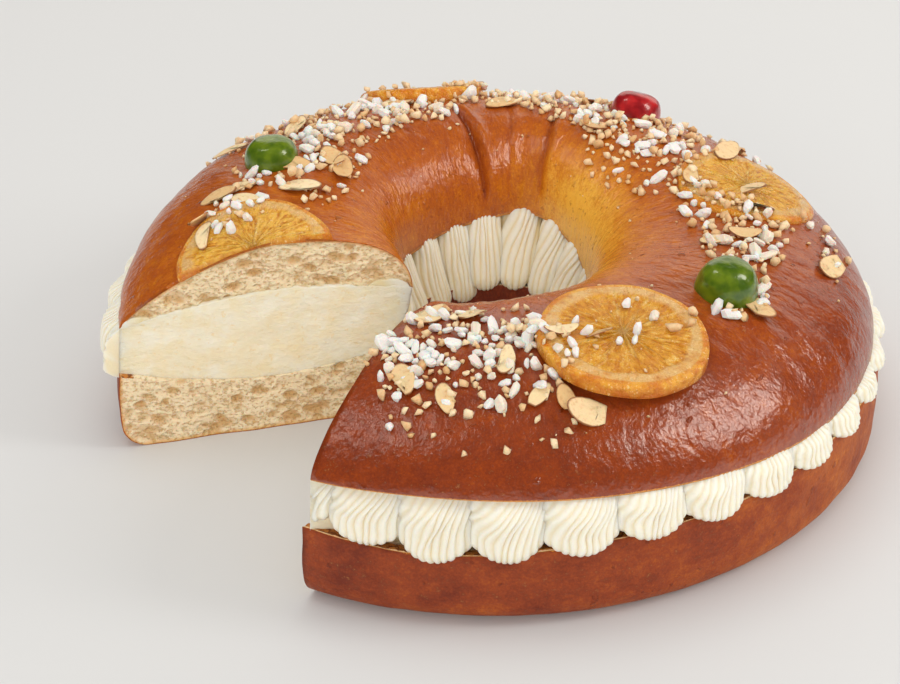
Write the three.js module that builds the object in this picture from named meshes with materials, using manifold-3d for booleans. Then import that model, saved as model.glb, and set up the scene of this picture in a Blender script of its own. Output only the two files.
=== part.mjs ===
// Roscón de reyes: a ring of sweet bread cut level into a base and a lid, filled with piped
// cream and dressed with candied orange and cherries. One wedge has been served from it, so
// two cut faces show the layers.
//
// Millimetres, +Z up. The origin is on the axis of the ring, on the surface it stands on.
// Azimuths are in degrees from +X, anticlockwise seen from above.

import * as THREE from 'three';
import { mergeVertices } from 'three/addons/utils/BufferGeometryUtils.js';
import Module from 'manifold-3d';

const wasm = await Module();
wasm.setup();

// ---- Driving dimensions ----------------------------------------------------------------

const RING_RADIUS = 145; // outside of the base
const RING_OVAL = 0.008; // how far the hand-shaped ring departs from round
const HOLE_RADIUS = 37; // wall of the hole through the base
const TOUCH = 0.3; // gap left between pieces that lie on each other
const MERGE_DISTANCE = 1e-3; // vertices closer than this are one
const SHARE_STEPS = 1e4; // steps to which a place in a unit section is rounded
const HALVINGS = 20; // times a search interval is halved

// The missing wedge runs from the second cut to the first.
const FIRST_CUT = 244; // azimuth of the cut beside the front
const SECOND_CUT = 195; // azimuth of the cut on the left
const LID_OVERHANG = 1.2; // degrees by which the lid and cream stand back from the base's cut

const BASE = {
  corner: 9, // rounding of the bottom edge
  bulge: 1.2, // how far the wall swells at mid height
  holeEdge: 29, // height of the cut at the hole
  dish: 8, // how far the cut face sinks between its edges
};
const LID = {
  setBack: 2, // the lid's rim stands this far inside the base
  crestRadius: 84, // distance of the highest line from the axis
  innerFullness: 2.4, // exponent of the dome towards the hole
  arch: 7, // rise of the underside over the cream
};
const CREAM = {
  shellRadius: 10.8, // of one that does not stand out past the base
  shellGrowth: 0.5, // radius gained for each millimetre by which it stands out
  shellSpacing: 9.4, // degrees between neighbours round the outside
  shellStart: -107.4, // azimuth of one shell's middle
  flutes: 6,
  fluteDepth: 0.07,
  twist: 0.2, // radians turned by the flutes from the middle to the top
  levels: 3, // bands of facets up a shell
  holeShellRadius: 10.5,
  holeShellSpacing: 20,
  holeShellStart: 93,
  holeOverhang: 1.5, // how far a shell stands out into the hole
};

// [azimuth, value] pairs round the ring, where the dough rose unevenly.
const BASE_EDGE = [[-117, 29.5], [-100, 27.5], [-77, 30.7], [-45, 33], [-20, 35], [30, 35],
  [90, 34], [150, 32], [195, 31]];
const RIM_HEIGHT = [[-115, 47.4], [-100, 48.6], [-77, 46.9], [-62, 44.7], [-44, 41.5],
  [-25, 39.5], [20, 40], [90, 42], [150, 47], [195, 49]];
const CREST_HEIGHT = [[-115, 72.5], [-88, 76.5], [-45, 76], [5, 77], [43, 82.5], [90, 86],
  [135, 86], [165, 83], [195, 77]];
const OUTER_FULLNESS = [[-115, 1.6], [-60, 1.8], [15, 1.85], [90, 1.75], [165, 2],
  [195, 1.35]];
const HOLE_EDGE_RADIUS = [[-115, 38], [-60, 34], [0, 35], [25, 39], [50, 46], [75, 54],
  [95, 49], [120, 46], [150, 42], [195, 32]];
const HOLE_EDGE_HEIGHT = [[-115, 48], [-60, 46], [0, 42], [30, 42], [50, 48], [75, 53],
  [105, 51], [140, 47], [195, 52]];

const SHELL_OVERHANG = [[-115, 1.5], [-20, 2], [60, 2], [130, 3], [170, 5.5], [195, 5.5]];

// Two folds run down the inside of the lid where the ends of the dough rope were joined.
const FOLDS = [
  { azimuth: 97, depth: 5, width: 4 },
  { azimuth: 78, depth: 4, width: 5 },
];
const FOLD_REACH = 60; // distance outwards over which a fold fades

// How finely the rings are made. Bread and cream share the places where their facets meet.
const RING_SEGMENTS = 64;
const SHARES = [0, 0.08, 0.36, 0.64, 0.92, 1]; // of the width, across from the hole
const WALL_LEVELS = [0, 0.12, 0.3, 0.6]; // of the height, up the outside of the base
const DOME_STEPS = 13;

const COLOURS = {
  crust: 0x9a4a1c,
  cream: 0xf6efd2,
  orange: 0xe08a1c,
  green: 0x3f7d16,
  red: 0xc01525,
};

// Candied fruit. A place is where the middle of a piece lies on the crust.
const ORANGE = {
  sides: 24,
  rimRound: 1.2,
  rindWidth: 5,
  pithDip: 0.7, // the flesh lies this far below the rind
};
const ORANGES = [
  {
    name: 'orange_slice_front', radius: 29, thickness: 5.5,
    place: { azimuth: -65, radius: 99.5, give: 0.3, tip: -4 },
  },
  {
    name: 'orange_slice_right', radius: 27, thickness: 5,
    place: { azimuth: 16, radius: 100, give: 1, sink: 3 },
  },
  {
    name: 'orange_slice_back', radius: 26, thickness: 5.5,
    place: { azimuth: 105.5, radius: 116, give: 0.8, roll: 7, sink: 2.5 },
  },
  {
    name: 'orange_slice_left', radius: 29.5, thickness: 4.5, cut: true,
    place: { azimuth: 194.5, radius: 90.5, give: 1 },
  },
];
const CHERRY = {
  sides: 14,
  rings: 4,
  root: 0.33, // share of the height that reaches down into the crust
  crowding: 1.2, // above 1, the rings crowd towards the edge
};
const CHERRIES = [
  {
    name: 'green_cherry_left', radius: 10.5, height: 9, colour: COLOURS.green,
    place: { azimuth: 156, radius: 95 },
  },
  {
    name: 'green_cherry_right', radius: 11.2, height: 12, colour: COLOURS.green,
    place: { azimuth: -33.2, radius: 96.5 },
  },
  {
    name: 'red_cherry_back', radius: 10.5, height: 9.5, colour: COLOURS.red,
    place: { azimuth: 57.5, radius: 106.5 },
  },
];

// ---- Helpers ---------------------------------------------------------------------------

const radians = THREE.MathUtils.degToRad;
const lerp = THREE.MathUtils.lerp;

/** A share of a unit section without the rounding error of 32-bit vertices. */
const snap = (share) => Math.round(share * SHARE_STEPS) / SHARE_STEPS;

/** A smooth closed curve through [azimuth, value] pairs, to be read at any azimuth. */
function around(pairs) {
  const turns = [-360, 0, 360].flatMap((turn) => pairs.map(([at, value]) => [at + turn, value]));
  const curve = new THREE.CubicInterpolant(
    turns.map((pair) => pair[0]),
    turns.map((pair) => pair[1]),
    1,
  );
  return (azimuth) => curve.evaluate(THREE.MathUtils.euclideanModulo(azimuth, 360))[0];
}

const baseEdge = around(BASE_EDGE);
const rimHeight = around(RIM_HEIGHT);
const crestHeight = around(CREST_HEIGHT);
const outerFullness = around(OUTER_FULLNESS);
const holeEdgeRadius = around(HOLE_EDGE_RADIUS);
const holeEdgeHeight = around(HOLE_EDGE_HEIGHT);
const shellOverhang = around(SHELL_OVERHANG);

/** A closed geometry as a solid that can be joined and cut. */
function solid(geometry) {
  const bare = geometry.clone();
  bare.deleteAttribute('normal');
  bare.deleteAttribute('uv');
  const merged = mergeVertices(bare, MERGE_DISTANCE);
  const corners = [];
  const index = merged.index.array;
  for (let i = 0; i < index.length; i += 3) {
    const [a, b, c] = index.slice(i, i + 3);
    if (a !== b && b !== c && c !== a) corners.push(a, b, c);
  }
  return new wasm.Manifold(new wasm.Mesh({
    numProp: 3,
    vertProperties: new Float32Array(merged.attributes.position.array),
    triVerts: new Uint32Array(corners),
  }));
}

/** The named mesh of a solid. */
function node(name, shape, colour, roughness) {
  const { vertProperties, triVerts } = shape.getMesh();
  const geometry = new THREE.BufferGeometry();
  geometry.setAttribute('position', new THREE.BufferAttribute(vertProperties, 3));
  geometry.setIndex(new THREE.BufferAttribute(triVerts, 1));
  geometry.computeVertexNormals();
  const material = new THREE.MeshStandardMaterial({ color: colour, roughness, metalness: 0 });
  const mesh = new THREE.Mesh(geometry, material);
  mesh.name = name;
  return mesh;
}

/** Moves every vertex of a geometry: move(vertex) changes the vector it is given. */
function reshape(geometry, move) {
  const position = geometry.attributes.position;
  const vertex = new THREE.Vector3();
  for (let i = 0; i < position.count; i += 1) {
    vertex.fromBufferAttribute(position, i);
    move(vertex);
    position.setXYZ(i, vertex.x, vertex.y, vertex.z);
  }
  return geometry;
}

/**
 * A solid ring whose section is worked out azimuth by azimuth. The outline is drawn on a unit
 * section: x runs from 0 at the hole to 1 outside, y from 0 below to 1 above. The function
 * place(x, y, azimuth) gives the real [radius, height] of each of its points.
 */
function ring(outline, place) {
  const profile = outline.map(([x, y]) => new THREE.Vector2(1 + x, y));
  profile.push(profile[0].clone());
  const lathe = new THREE.LatheGeometry(profile, RING_SEGMENTS);
  lathe.rotateX(Math.PI / 2);
  return solid(reshape(lathe, (vertex) => {
    const angle = Math.atan2(vertex.y, vertex.x);
    const across = snap(Math.hypot(vertex.x, vertex.y) - 1);
    const azimuth = THREE.MathUtils.radToDeg(angle);
    const [radius, height] = place(across, snap(vertex.z), azimuth);
    vertex.set(radius * Math.cos(angle), radius * Math.sin(angle), height);
  }));
}

/** The space of the missing wedge, between two azimuths. */
function wedge(from, to) {
  const reach = 2 * RING_RADIUS;
  const corner = (azimuth) => new THREE.Vector2(
    reach * Math.cos(radians(azimuth)),
    reach * Math.sin(radians(azimuth)),
  );
  const plan = new THREE.Shape([new THREE.Vector2(0, 0), corner(from), corner(to)]);
  const block = new THREE.ExtrudeGeometry(plan, { depth: reach, bevelEnabled: false });
  return solid(block.translate(0, 0, -reach / 2));
}

// ---- The surfaces that the layers share ------------------------------------------------

/** Radius of the outside of the base. */
function outside(azimuth) {
  return RING_RADIUS * (1 - RING_OVAL * Math.cos(2 * radians(azimuth)));
}

/** Height of the base's cut face, across from the hole (0) to the outside (1). */
function baseTop(across, azimuth) {
  const sunk = BASE.dish * Math.sin(Math.PI * across);
  return lerp(BASE.holeEdge, baseEdge(azimuth), across) - sunk;
}

/** Height of the lid's underside, across from the hole (0) to the outside (1). */
function lidUnderside(across, azimuth) {
  const risen = LID.arch * Math.sin(Math.PI * across);
  return lerp(holeEdgeHeight(azimuth), rimHeight(azimuth), across) + risen;
}

/** How deep the folds lie at a place on the lid. */
function foldDepth(radius, azimuth) {
  const fade = THREE.MathUtils.smoothstep(-radius, -HOLE_RADIUS - FOLD_REACH, -HOLE_RADIUS);
  let depth = 0;
  for (const fold of FOLDS) {
    const aside = radius * radians(azimuth - fold.azimuth);
    depth += fold.depth * fade * Math.exp(-((aside / fold.width) ** 2));
  }
  return depth;
}

/**
 * The dome of the lid. The place across runs from 0 at the hole to 1 outside, evenly in the
 * angle of a superellipse on each side of the crest. Gives [radius, height].
 */
function dome(across, azimuth) {
  const angle = Math.PI * (1 - across);
  const outer = angle <= Math.PI / 2;
  const fullness = outer ? outerFullness(azimuth) : LID.innerFullness;
  const rimRadius = outer ? outside(azimuth) - LID.setBack : holeEdgeRadius(azimuth);
  const rim = outer ? rimHeight(azimuth) : holeEdgeHeight(azimuth);
  const along = Math.abs(Math.cos(angle)) ** (2 / fullness);
  const up = Math.max(0, Math.sin(angle)) ** (2 / fullness);
  const radius = lerp(LID.crestRadius, rimRadius, along);
  return [radius, lerp(rim, crestHeight(azimuth), up) - foldDepth(radius, azimuth) * up];
}

// ---- Bread and cream -------------------------------------------------------------------

/** The lower half of the ring. */
function base() {
  const outline = [[0, 0], [0.5, 0]];
  for (const up of WALL_LEVELS) outline.push([1, up]);
  for (const across of [...SHARES].reverse()) outline.push([across, 1]);
  return ring(outline, (across, up, azimuth) => {
    const height = up * baseTop(across, azimuth);
    const wide = lerp(HOLE_RADIUS, outside(azimuth), across);
    if (across < 1) return [wide, height];
    const below = Math.max(0, 1 - height / BASE.corner);
    const rounding = BASE.corner * (1 - Math.sqrt(1 - below ** 2));
    const swell = BASE.bulge * Math.sin(Math.PI * up);
    return [wide - rounding + swell, height];
  });
}

/** The upper half of the ring, larger by grow on every side. */
function lid(grow) {
  const outline = SHARES.slice(0, -1).map((across) => [across, 0]);
  for (let i = DOME_STEPS; i > 0; i -= 1) outline.push([i / DOME_STEPS, 1]);
  return ring(outline, (across, up, azimuth) => {
    const outwards = grow * Math.sign(across - 0.5);
    if (up === 0) {
      const wide = lerp(holeEdgeRadius(azimuth), outside(azimuth) - LID.setBack, across);
      return [wide + outwards, lidUnderside(across, azimuth) - grow];
    }
    const [radius, height] = dome(across, azimuth);
    return [radius + outwards, height + grow];
  });
}

/** The cream spread between the two halves. */
function creamCore() {
  const shares = SHARES.slice(1, -1);
  const outline = shares.map((across) => [across, 0]);
  for (const across of shares.reverse()) outline.push([across, 1]);
  return ring(outline, (across, up, azimuth) => {
    if (up === 0) {
      const low = lerp(HOLE_RADIUS, outside(azimuth), across);
      return [low, baseTop(across, azimuth) + TOUCH];
    }
    const high = lerp(holeEdgeRadius(azimuth), outside(azimuth) - LID.setBack, across);
    return [high, lidUnderside(across, azimuth) - TOUCH];
  });
}

/** One piped shell: a fluted bulb with a twist, standing at an azimuth. */
function shell(azimuth, distance, radius, bottom, top) {
  const { flutes, fluteDepth, twist, levels } = CREAM;
  const profile = [];
  for (let i = 0; i <= levels; i += 1) {
    const angle = Math.PI * (i / levels - 0.5);
    profile.push(new THREE.Vector2(i % levels ? Math.cos(angle) : 0, Math.sin(angle)));
  }
  const bulb = new THREE.LatheGeometry(profile, 2 * flutes);
  bulb.rotateX(Math.PI / 2);
  const turned = radians(azimuth);
  return solid(reshape(bulb, (vertex) => {
    const round = Math.atan2(vertex.y, vertex.x);
    const ridge = 1 + fluteDepth * Math.cos(flutes * round);
    const reach = radius * ridge * Math.hypot(vertex.x, vertex.y);
    const facing = round + twist * vertex.z + turned;
    vertex.set(
      distance * Math.cos(turned) + reach * Math.cos(facing),
      distance * Math.sin(turned) + reach * Math.sin(facing),
      lerp(bottom, top, (vertex.z + 1) / 2),
    );
  }));
}

/** The azimuths of shells that follow each other round the ring, outside the wedge. */
function shellPlaces(start, spacing) {
  const count = Math.round(360 / spacing);
  const places = Array.from({ length: count }, (_, i) => start + (i * 360) / count);
  return places.filter((azimuth) => {
    const turned = (azimuth + 360) % 360;
    return turned < SECOND_CUT || turned > FIRST_CUT;
  });
}

/** All the cream as one body: the core with its two rows of shells. */
function cream() {
  const pieces = [creamCore()];
  for (const azimuth of shellPlaces(CREAM.shellStart, CREAM.shellSpacing)) {
    const overhang = shellOverhang(azimuth);
    const radius = CREAM.shellRadius + CREAM.shellGrowth * overhang;
    const distance = outside(azimuth) + overhang - radius;
    const bottom = baseEdge(azimuth) + TOUCH;
    const top = rimHeight(azimuth) - TOUCH;
    pieces.push(shell(azimuth, distance, radius, bottom, top));
  }
  for (const azimuth of shellPlaces(CREAM.holeShellStart, CREAM.holeShellSpacing)) {
    const distance = HOLE_RADIUS - CREAM.holeOverhang + CREAM.holeShellRadius;
    const bottom = BASE.holeEdge + TOUCH;
    const top = holeEdgeHeight(azimuth) - TOUCH;
    pieces.push(shell(azimuth, distance, CREAM.holeShellRadius, bottom, top));
  }
  return wasm.Manifold.union(pieces);
}

// ---- Candied fruit ---------------------------------------------------------------------

/** The height of the crust at a distance from the axis. */
function crustHeight(radius, azimuth) {
  let low = 0;
  let high = 1;
  for (let halved = 0; halved < HALVINGS; halved += 1) {
    const middle = (low + high) / 2;
    if (dome(middle, azimuth)[0] < radius) low = middle;
    else high = middle;
  }
  return dome(low, azimuth)[1];
}

/** A point on the crust. */
function crustPoint(radius, azimuth) {
  const angle = radians(azimuth);
  const height = crustHeight(radius, azimuth);
  return new THREE.Vector3(radius * Math.cos(angle), radius * Math.sin(angle), height);
}

/**
 * Lays a geometry, drawn flat with +Z up, on a place of the crust. It leans with the crust
 * there, tipped outwards and rolled clockwise by a few degrees, and its middle sinks in. It
 * follows the crust by the share give: 0 keeps it flat, 1 drapes it.
 */
function lay(geometry, { azimuth, radius, give = 0, tip = 0, roll = 0, sink = 0 }) {
  const span = 8; // distance over which the slope is read
  const aside = THREE.MathUtils.radToDeg(span / radius);
  const point = crustPoint(radius, azimuth);
  const out = crustPoint(radius + span, azimuth).sub(crustPoint(radius - span, azimuth));
  const round = crustPoint(radius, azimuth + aside).sub(crustPoint(radius, azimuth - aside));
  out.normalize();
  round.normalize();
  out.applyAxisAngle(round, radians(tip));
  round.applyAxisAngle(out, radians(roll));
  const up = new THREE.Vector3().crossVectors(out, round).normalize();
  round.crossVectors(up, out);
  point.addScaledVector(up, -sink);
  return reshape(geometry, (vertex) => {
    const floor = point.clone().addScaledVector(out, vertex.x).addScaledVector(round, vertex.y);
    const turned = THREE.MathUtils.radToDeg(Math.atan2(floor.y, floor.x));
    const drop = crustHeight(Math.hypot(floor.x, floor.y), turned) - sink - floor.z;
    vertex.copy(floor.addScaledVector(up, vertex.z));
    vertex.z += give * drop;
  });
}

/** A round slice of candied orange: a rind that stands a little over the flesh. */
function orangeSlice(radius, thickness) {
  const { rimRound, pithDip, rindWidth } = ORANGE;
  const profile = [
    [0, 0],
    [radius, 0],
    [radius, thickness - rimRound],
    [radius - rimRound, thickness],
    [radius - rindWidth, thickness - pithDip],
    [0, thickness - pithDip],
  ];
  const lathe = new THREE.LatheGeometry(profile.map(([x, y]) => new THREE.Vector2(x, y)),
    ORANGE.sides);
  return lathe.rotateX(Math.PI / 2);
}

/** A candied cherry, halved, flat side down. */
function halfCherry(radius, height) {
  const profile = [new THREE.Vector2(0, -height * CHERRY.root)];
  for (let i = 0; i < CHERRY.rings; i += 1) {
    const angle = (Math.PI / 2) * (i / CHERRY.rings) ** CHERRY.crowding;
    profile.push(new THREE.Vector2(radius * Math.cos(angle), height * Math.sin(angle)));
  }
  profile.push(new THREE.Vector2(0, height));
  return new THREE.LatheGeometry(profile, CHERRY.sides).rotateX(Math.PI / 2);
}

// ---- The object ------------------------------------------------------------------------

const lidWedge = wedge(SECOND_CUT - LID_OVERHANG, FIRST_CUT + LID_OVERHANG);
const baseWedge = wedge(SECOND_CUT, FIRST_CUT);
const fattenedLid = lid(TOUCH);

const roscon = new THREE.Group();

roscon.add(node('bottom_bread', base().subtract(baseWedge), COLOURS.crust, 0.6));
roscon.add(node('cream', cream().subtract(lidWedge), COLOURS.cream, 0.5));
roscon.add(node('top_bread', lid(0).subtract(lidWedge), COLOURS.crust, 0.35));

for (const { name, radius, thickness, cut, place } of ORANGES) {
  let slice = solid(lay(orangeSlice(radius, thickness), place)).subtract(fattenedLid);
  if (cut) slice = slice.subtract(lidWedge);
  roscon.add(node(name, slice, COLOURS.orange, 0.3));
}

for (const { name, radius, height, colour, place } of CHERRIES) {
  const cherry = solid(lay(halfCherry(radius, height), place)).subtract(fattenedLid);
  roscon.add(node(name, cherry, colour, 0.15));
}

export default roscon;
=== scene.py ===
# %% [markdown]
# # A filled roscón de reyes
#
# This festive bread is a rope of sweet dough, joined into a ring, brushed with egg and baked
# with fruit, sugar and almonds on top. The baker splits it level with a long knife, pipes cream
# on the lower half and puts the lid back. One portion has been cut out, so two cut faces show.
#
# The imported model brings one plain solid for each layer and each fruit. They fix every size.
# This script makes the pieces that are seen, out of the same curves, and gives each its finish.

import math

import bmesh
import bpy
import numpy as np
from mathutils import Matrix, Vector, noise
from mathutils.bvhtree import BVHTree


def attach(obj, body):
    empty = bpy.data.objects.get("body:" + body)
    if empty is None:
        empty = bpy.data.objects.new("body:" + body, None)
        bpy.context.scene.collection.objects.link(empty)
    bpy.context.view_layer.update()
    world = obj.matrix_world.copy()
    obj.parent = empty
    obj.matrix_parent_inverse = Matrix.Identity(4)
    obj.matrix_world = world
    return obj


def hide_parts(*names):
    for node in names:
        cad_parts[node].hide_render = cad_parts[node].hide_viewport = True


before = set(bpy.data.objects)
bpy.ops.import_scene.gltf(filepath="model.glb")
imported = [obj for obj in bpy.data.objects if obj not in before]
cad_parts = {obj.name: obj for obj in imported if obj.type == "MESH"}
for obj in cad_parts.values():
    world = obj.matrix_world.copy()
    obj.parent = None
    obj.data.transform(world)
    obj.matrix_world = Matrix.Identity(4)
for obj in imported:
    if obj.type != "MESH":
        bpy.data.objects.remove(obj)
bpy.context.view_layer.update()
MM = 0.001  # every size below is in millimetres, and a piece is scaled once when it is made
TURN = 2 * math.pi
SAME = 1e-6  # shares, or places in metres, that are closer than this are the same
print("solids in the frame:", ", ".join(sorted(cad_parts)))

# %% [markdown]
# ## The curves of the ring
#
# Dough rises unevenly, so the rim, the crest and the edge of the hole go up and down round the
# ring. Each is a list of a few (azimuth, value) pairs, with the azimuth in degrees. Drawing a
# smooth closed curve through them keeps the list short. The slope at each pair is the mean of
# the slopes on its two sides, which is the curve that the solids use too.

# %% A smooth closed curve through pairs


def around(pairs):
    """A function that reads the curve through (azimuth, value) pairs at any azimuths."""
    at = np.array([azimuth + turn for turn in (-360, 0, 360) for azimuth, _ in pairs], float)
    value = np.array([value for _ in range(3) for _, value in pairs], float)
    chord = np.diff(value) / np.diff(at)
    slope = np.r_[chord[0], (chord[1:] + chord[:-1]) / 2, chord[-1]]

    def read(azimuth):
        azimuth = np.mod(azimuth, 360)
        i = np.searchsorted(at, azimuth, side="right") - 1
        step = at[i + 1] - at[i]
        t = (azimuth - at[i]) / step
        ends = value[i] * (2 * t**3 - 3 * t**2 + 1) + value[i + 1] * (3 * t**2 - 2 * t**3)
        return ends + step * (slope[i] * (t**3 - 2 * t**2 + t) + slope[i + 1] * (t**3 - t**2))

    return read


print("halfway between 0 and 10:", around([(0, 0), (180, 10)])(90))

# %% Sizes of the ring
RING_RADIUS = 145
RING_OVAL = 0.008
HOLE_RADIUS = 37
FIRST_CUT = -116  # the bread runs from the first cut, anticlockwise, to the second
SECOND_CUT = 195
LID_OVERHANG = 1.2  # degrees by which lid and cream stand back from the base's cuts
BASE_CORNER = 9
BASE_BULGE = 1.2
BASE_HOLE_EDGE = 29
BASE_DISH = 8
LID_SET_BACK = 2
CREST_RADIUS = 84
INNER_FULLNESS = 2.4
LID_ARCH = 7
FOLDS = ((97, 5, 4), (78, 4, 5))  # azimuth, depth and width of each fold
FOLD_REACH = 60

base_edge = around([(-117, 29.5), (-100, 27.5), (-77, 30.7), (-45, 33), (-20, 35), (30, 35),
                    (90, 34), (150, 32), (195, 31)])
rim_height = around([(-115, 47.4), (-100, 48.6), (-77, 46.9), (-62, 44.7), (-44, 41.5),
                     (-25, 39.5), (20, 40), (90, 42), (150, 47), (195, 49)])
crest_height = around([(-115, 72.5), (-88, 76.5), (-45, 76), (5, 77), (43, 82.5), (90, 86),
                       (135, 86), (165, 83), (195, 77)])
outer_fullness = around([(-115, 1.6), (-60, 1.8), (15, 1.85), (90, 1.75), (165, 2),
                         (195, 1.35)])
hole_edge_radius = around([(-115, 38), (-60, 34), (0, 35), (25, 39), (50, 46), (75, 54),
                           (95, 49), (120, 46), (150, 42), (195, 32)])
hole_edge_height = around([(-115, 48), (-60, 46), (0, 42), (30, 42), (50, 48), (75, 53),
                           (105, 51), (140, 47), (195, 52)])
shell_twist = around([(-115, 0.6), (-70, 0.6), (-50, 0.2), (20, 0), (120, 0.2), (195, 0.5)])
shell_overhang = around([(-115, -1), (-98, 1.8), (-20, 2), (60, 2), (130, 3), (170, 5.5),
                         (195, 5.5)])
shell_droop = around([(-115, 1), (-98, 4), (-60, 4), (-20, 3.5), (90, 3), (195, 3)])
hole_shell_foot = around([(-115, 26), (-40, 25), (40, 24), (66, 25), (82, 28), (95, 27),
                          (108, 23), (150, 22), (195, 24)])
print(f"rim {rim_height(-90):.1f} mm and crest {crest_height(-90):.1f} mm high at the front")

# %% [markdown]
# ## The surfaces that the layers share
#
# A place in the ring is written as three shares: across from the hole (0) to the outside (1),
# along from the first cut (0) to the second (1), and up (0 to 1). Four functions turn shares
# into radius and height. Because bread and cream use the same ones, they meet everywhere.

# %% Outside, cut faces and dome


def lerp(start, end, share):
    """The value at a share of the way from start to end."""
    return start + (end - start) * share


def half_turn(degrees):
    """Angles brought between -180 and 180 degrees."""
    return np.mod(degrees + 180, 360) - 180


def smooth(low, high, value):
    """0 below low, 1 above high, and a soft step between."""
    t = np.clip((value - low) / (high - low), 0, 1)
    return t * t * (3 - 2 * t)


def outside(azimuth):
    return RING_RADIUS * (1 - RING_OVAL * np.cos(2 * np.radians(azimuth)))


def base_top(across, azimuth):
    """Height of the base's cut face, which is hollow in the middle."""
    sunk = BASE_DISH * np.sin(math.pi * across)
    return lerp(BASE_HOLE_EDGE, base_edge(azimuth), across) - sunk


def lid_underside(across, azimuth):
    """Radius and height of the lid's cut face."""
    radius = lerp(hole_edge_radius(azimuth), outside(azimuth) - LID_SET_BACK, across)
    height = lerp(hole_edge_height(azimuth), rim_height(azimuth), across)
    return radius, height + LID_ARCH * np.sin(math.pi * across)


def fold_depth(radius, azimuth):
    """How far the crust sinks where the dough has folded towards the hole."""
    fade = smooth(-HOLE_RADIUS - FOLD_REACH, -HOLE_RADIUS, -radius)
    depth = 0
    for at, deep, wide in FOLDS:
        aside = radius * np.radians(half_turn(azimuth) - at)
        depth = depth + deep * fade * np.exp(-((aside / wide) ** 2))
    return depth


def dome(across, azimuth):
    """Radius and height of the lid's crust."""
    angle = math.pi * (1 - np.asarray(across, float))
    outer = angle <= math.pi / 2
    fullness = np.where(outer, outer_fullness(azimuth), INNER_FULLNESS)
    rim_radius = np.where(outer, outside(azimuth) - LID_SET_BACK, hole_edge_radius(azimuth))
    rim = np.where(outer, rim_height(azimuth), hole_edge_height(azimuth))
    sideways = np.abs(np.cos(angle)) ** (2 / fullness)
    up = np.clip(np.sin(angle), 0, 1) ** (2 / fullness)
    radius = lerp(CREST_RADIUS, rim_radius, sideways)
    return radius, lerp(rim, crest_height(azimuth), up) - fold_depth(radius, azimuth) * up


def ring_points(radius, azimuth, height):
    """Points in the row frame, from radius, azimuth in degrees and height."""
    angle = np.radians(azimuth)
    return np.stack([radius * np.cos(angle), radius * np.sin(angle), height], axis=1)


print(f"crust at the front: {dome(0.5, -90.0)[1]:.1f} mm high")

# %% [markdown]
# ## A block that is bent into a layer
#
# A baker sees a layer as a long block of dough that is bent round until its ends meet. It is
# made the same way here: a cube is cut into cells with subdivide_edges, one direction after
# the other, and then every vertex is moved from its shares to its real place. A block has neat
# rows of cells on its two ends as well, and those ends become the cut faces.

# %% The unit block and how it is reshaped


def unit_block(across, along, up):
    """A cube from 0 to 1 each way, cut into that many cells."""
    bm = bmesh.new()
    bmesh.ops.create_cube(bm, size=1)
    bmesh.ops.translate(bm, vec=(0.5, 0.5, 0.5), verts=bm.verts)
    for axis, cells in enumerate((across, along, up)):
        edges = [e for e in bm.edges if abs(e.verts[0].co[axis] - e.verts[1].co[axis]) > SAME]
        bmesh.ops.subdivide_edges(bm, edges=edges, cuts=cells - 1, use_grid_fill=True)
    return bm


def refine_ends(bm, cuts):
    """Cuts the cells of the two end faces finer, for the crumb."""
    ends = [f for f in bm.faces if abs(f.normal.y) > 0.5]
    edges = list({e for f in ends for e in f.edges})
    bmesh.ops.subdivide_edges(bm, edges=edges, cuts=cuts, use_grid_fill=True)


def places(bm):
    """The coordinates of all vertices as one array."""
    return np.array([v.co for v in bm.verts])


def move_to(bm, points, **layers):
    """Puts every vertex at its point and stores named values on the vertices."""
    for vertex, point in zip(bm.verts, points * MM):
        vertex.co = point
    for name, values in layers.items():
        layer = bm.verts.layers.float.new(name)
        for vertex, value in zip(bm.verts, values):
            vertex[layer] = value


def lumps(points, size, seed):
    """Smooth noise from -1 to 1, with lumps of a size in millimetres."""
    shift = Vector((seed * 17.3, seed * 5.1, seed * 9.7))
    return np.array([noise.noise(Vector(point) / size + shift) for point in points])


def rough(points, *layers):
    """Lumps of several sizes added up, as (height, size, seed) layers."""
    return sum(high * lumps(points, size, seed) for high, size, seed in layers)


def unrolled(x, y):
    """Points in a plane, where noise is read for a surface that is laid out flat."""
    return np.stack([x, y, 0 * x], axis=1)


small_block = unit_block(2, 3, 4)
print("vertices of a block of 2, 3 and 4 cells:", len(small_block.verts))
small_block.free()


# %% [markdown]
# ## Finished pieces
#
# Every piece ends the same way: doubles merged, normals turned outwards, smooth shading, its
# materials, and the body it rides on. One function does that, so no piece can miss a step.

# %% Finish a piece


def mesh_of(bm, name):
    """Makes a bmesh a mesh."""
    mesh = bpy.data.meshes.new(name)
    bm.to_mesh(mesh)
    bm.free()
    return mesh


def put_in_scene(name, data):
    """Makes an object of a mesh, a light or a camera."""
    thing = bpy.data.objects.new(name, data)
    bpy.context.scene.collection.objects.link(thing)
    return thing


def piece(name, bm, finishes, replaces=None):
    """Makes a bmesh a finished piece of the model."""
    bmesh.ops.remove_doubles(bm, verts=bm.verts, dist=SAME)
    bmesh.ops.recalc_face_normals(bm, faces=bm.faces)
    return finish_mesh(name, mesh_of(bm, name), finishes, replaces)


def finish_mesh(name, mesh, finishes, replaces=None, flat=False):
    """Makes a mesh a finished piece of the model."""
    mesh.polygons.foreach_set("use_smooth", [not flat] * len(mesh.polygons))
    for finish in finishes:
        mesh.materials.append(finish.material)
    thing = put_in_scene(name, mesh)
    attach(thing, "root")
    if replaces:
        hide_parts(replaces)
    mesh.calc_loop_triangles()
    print(f"{name}: {len(mesh.loop_triangles)} triangles")
    return thing


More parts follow.
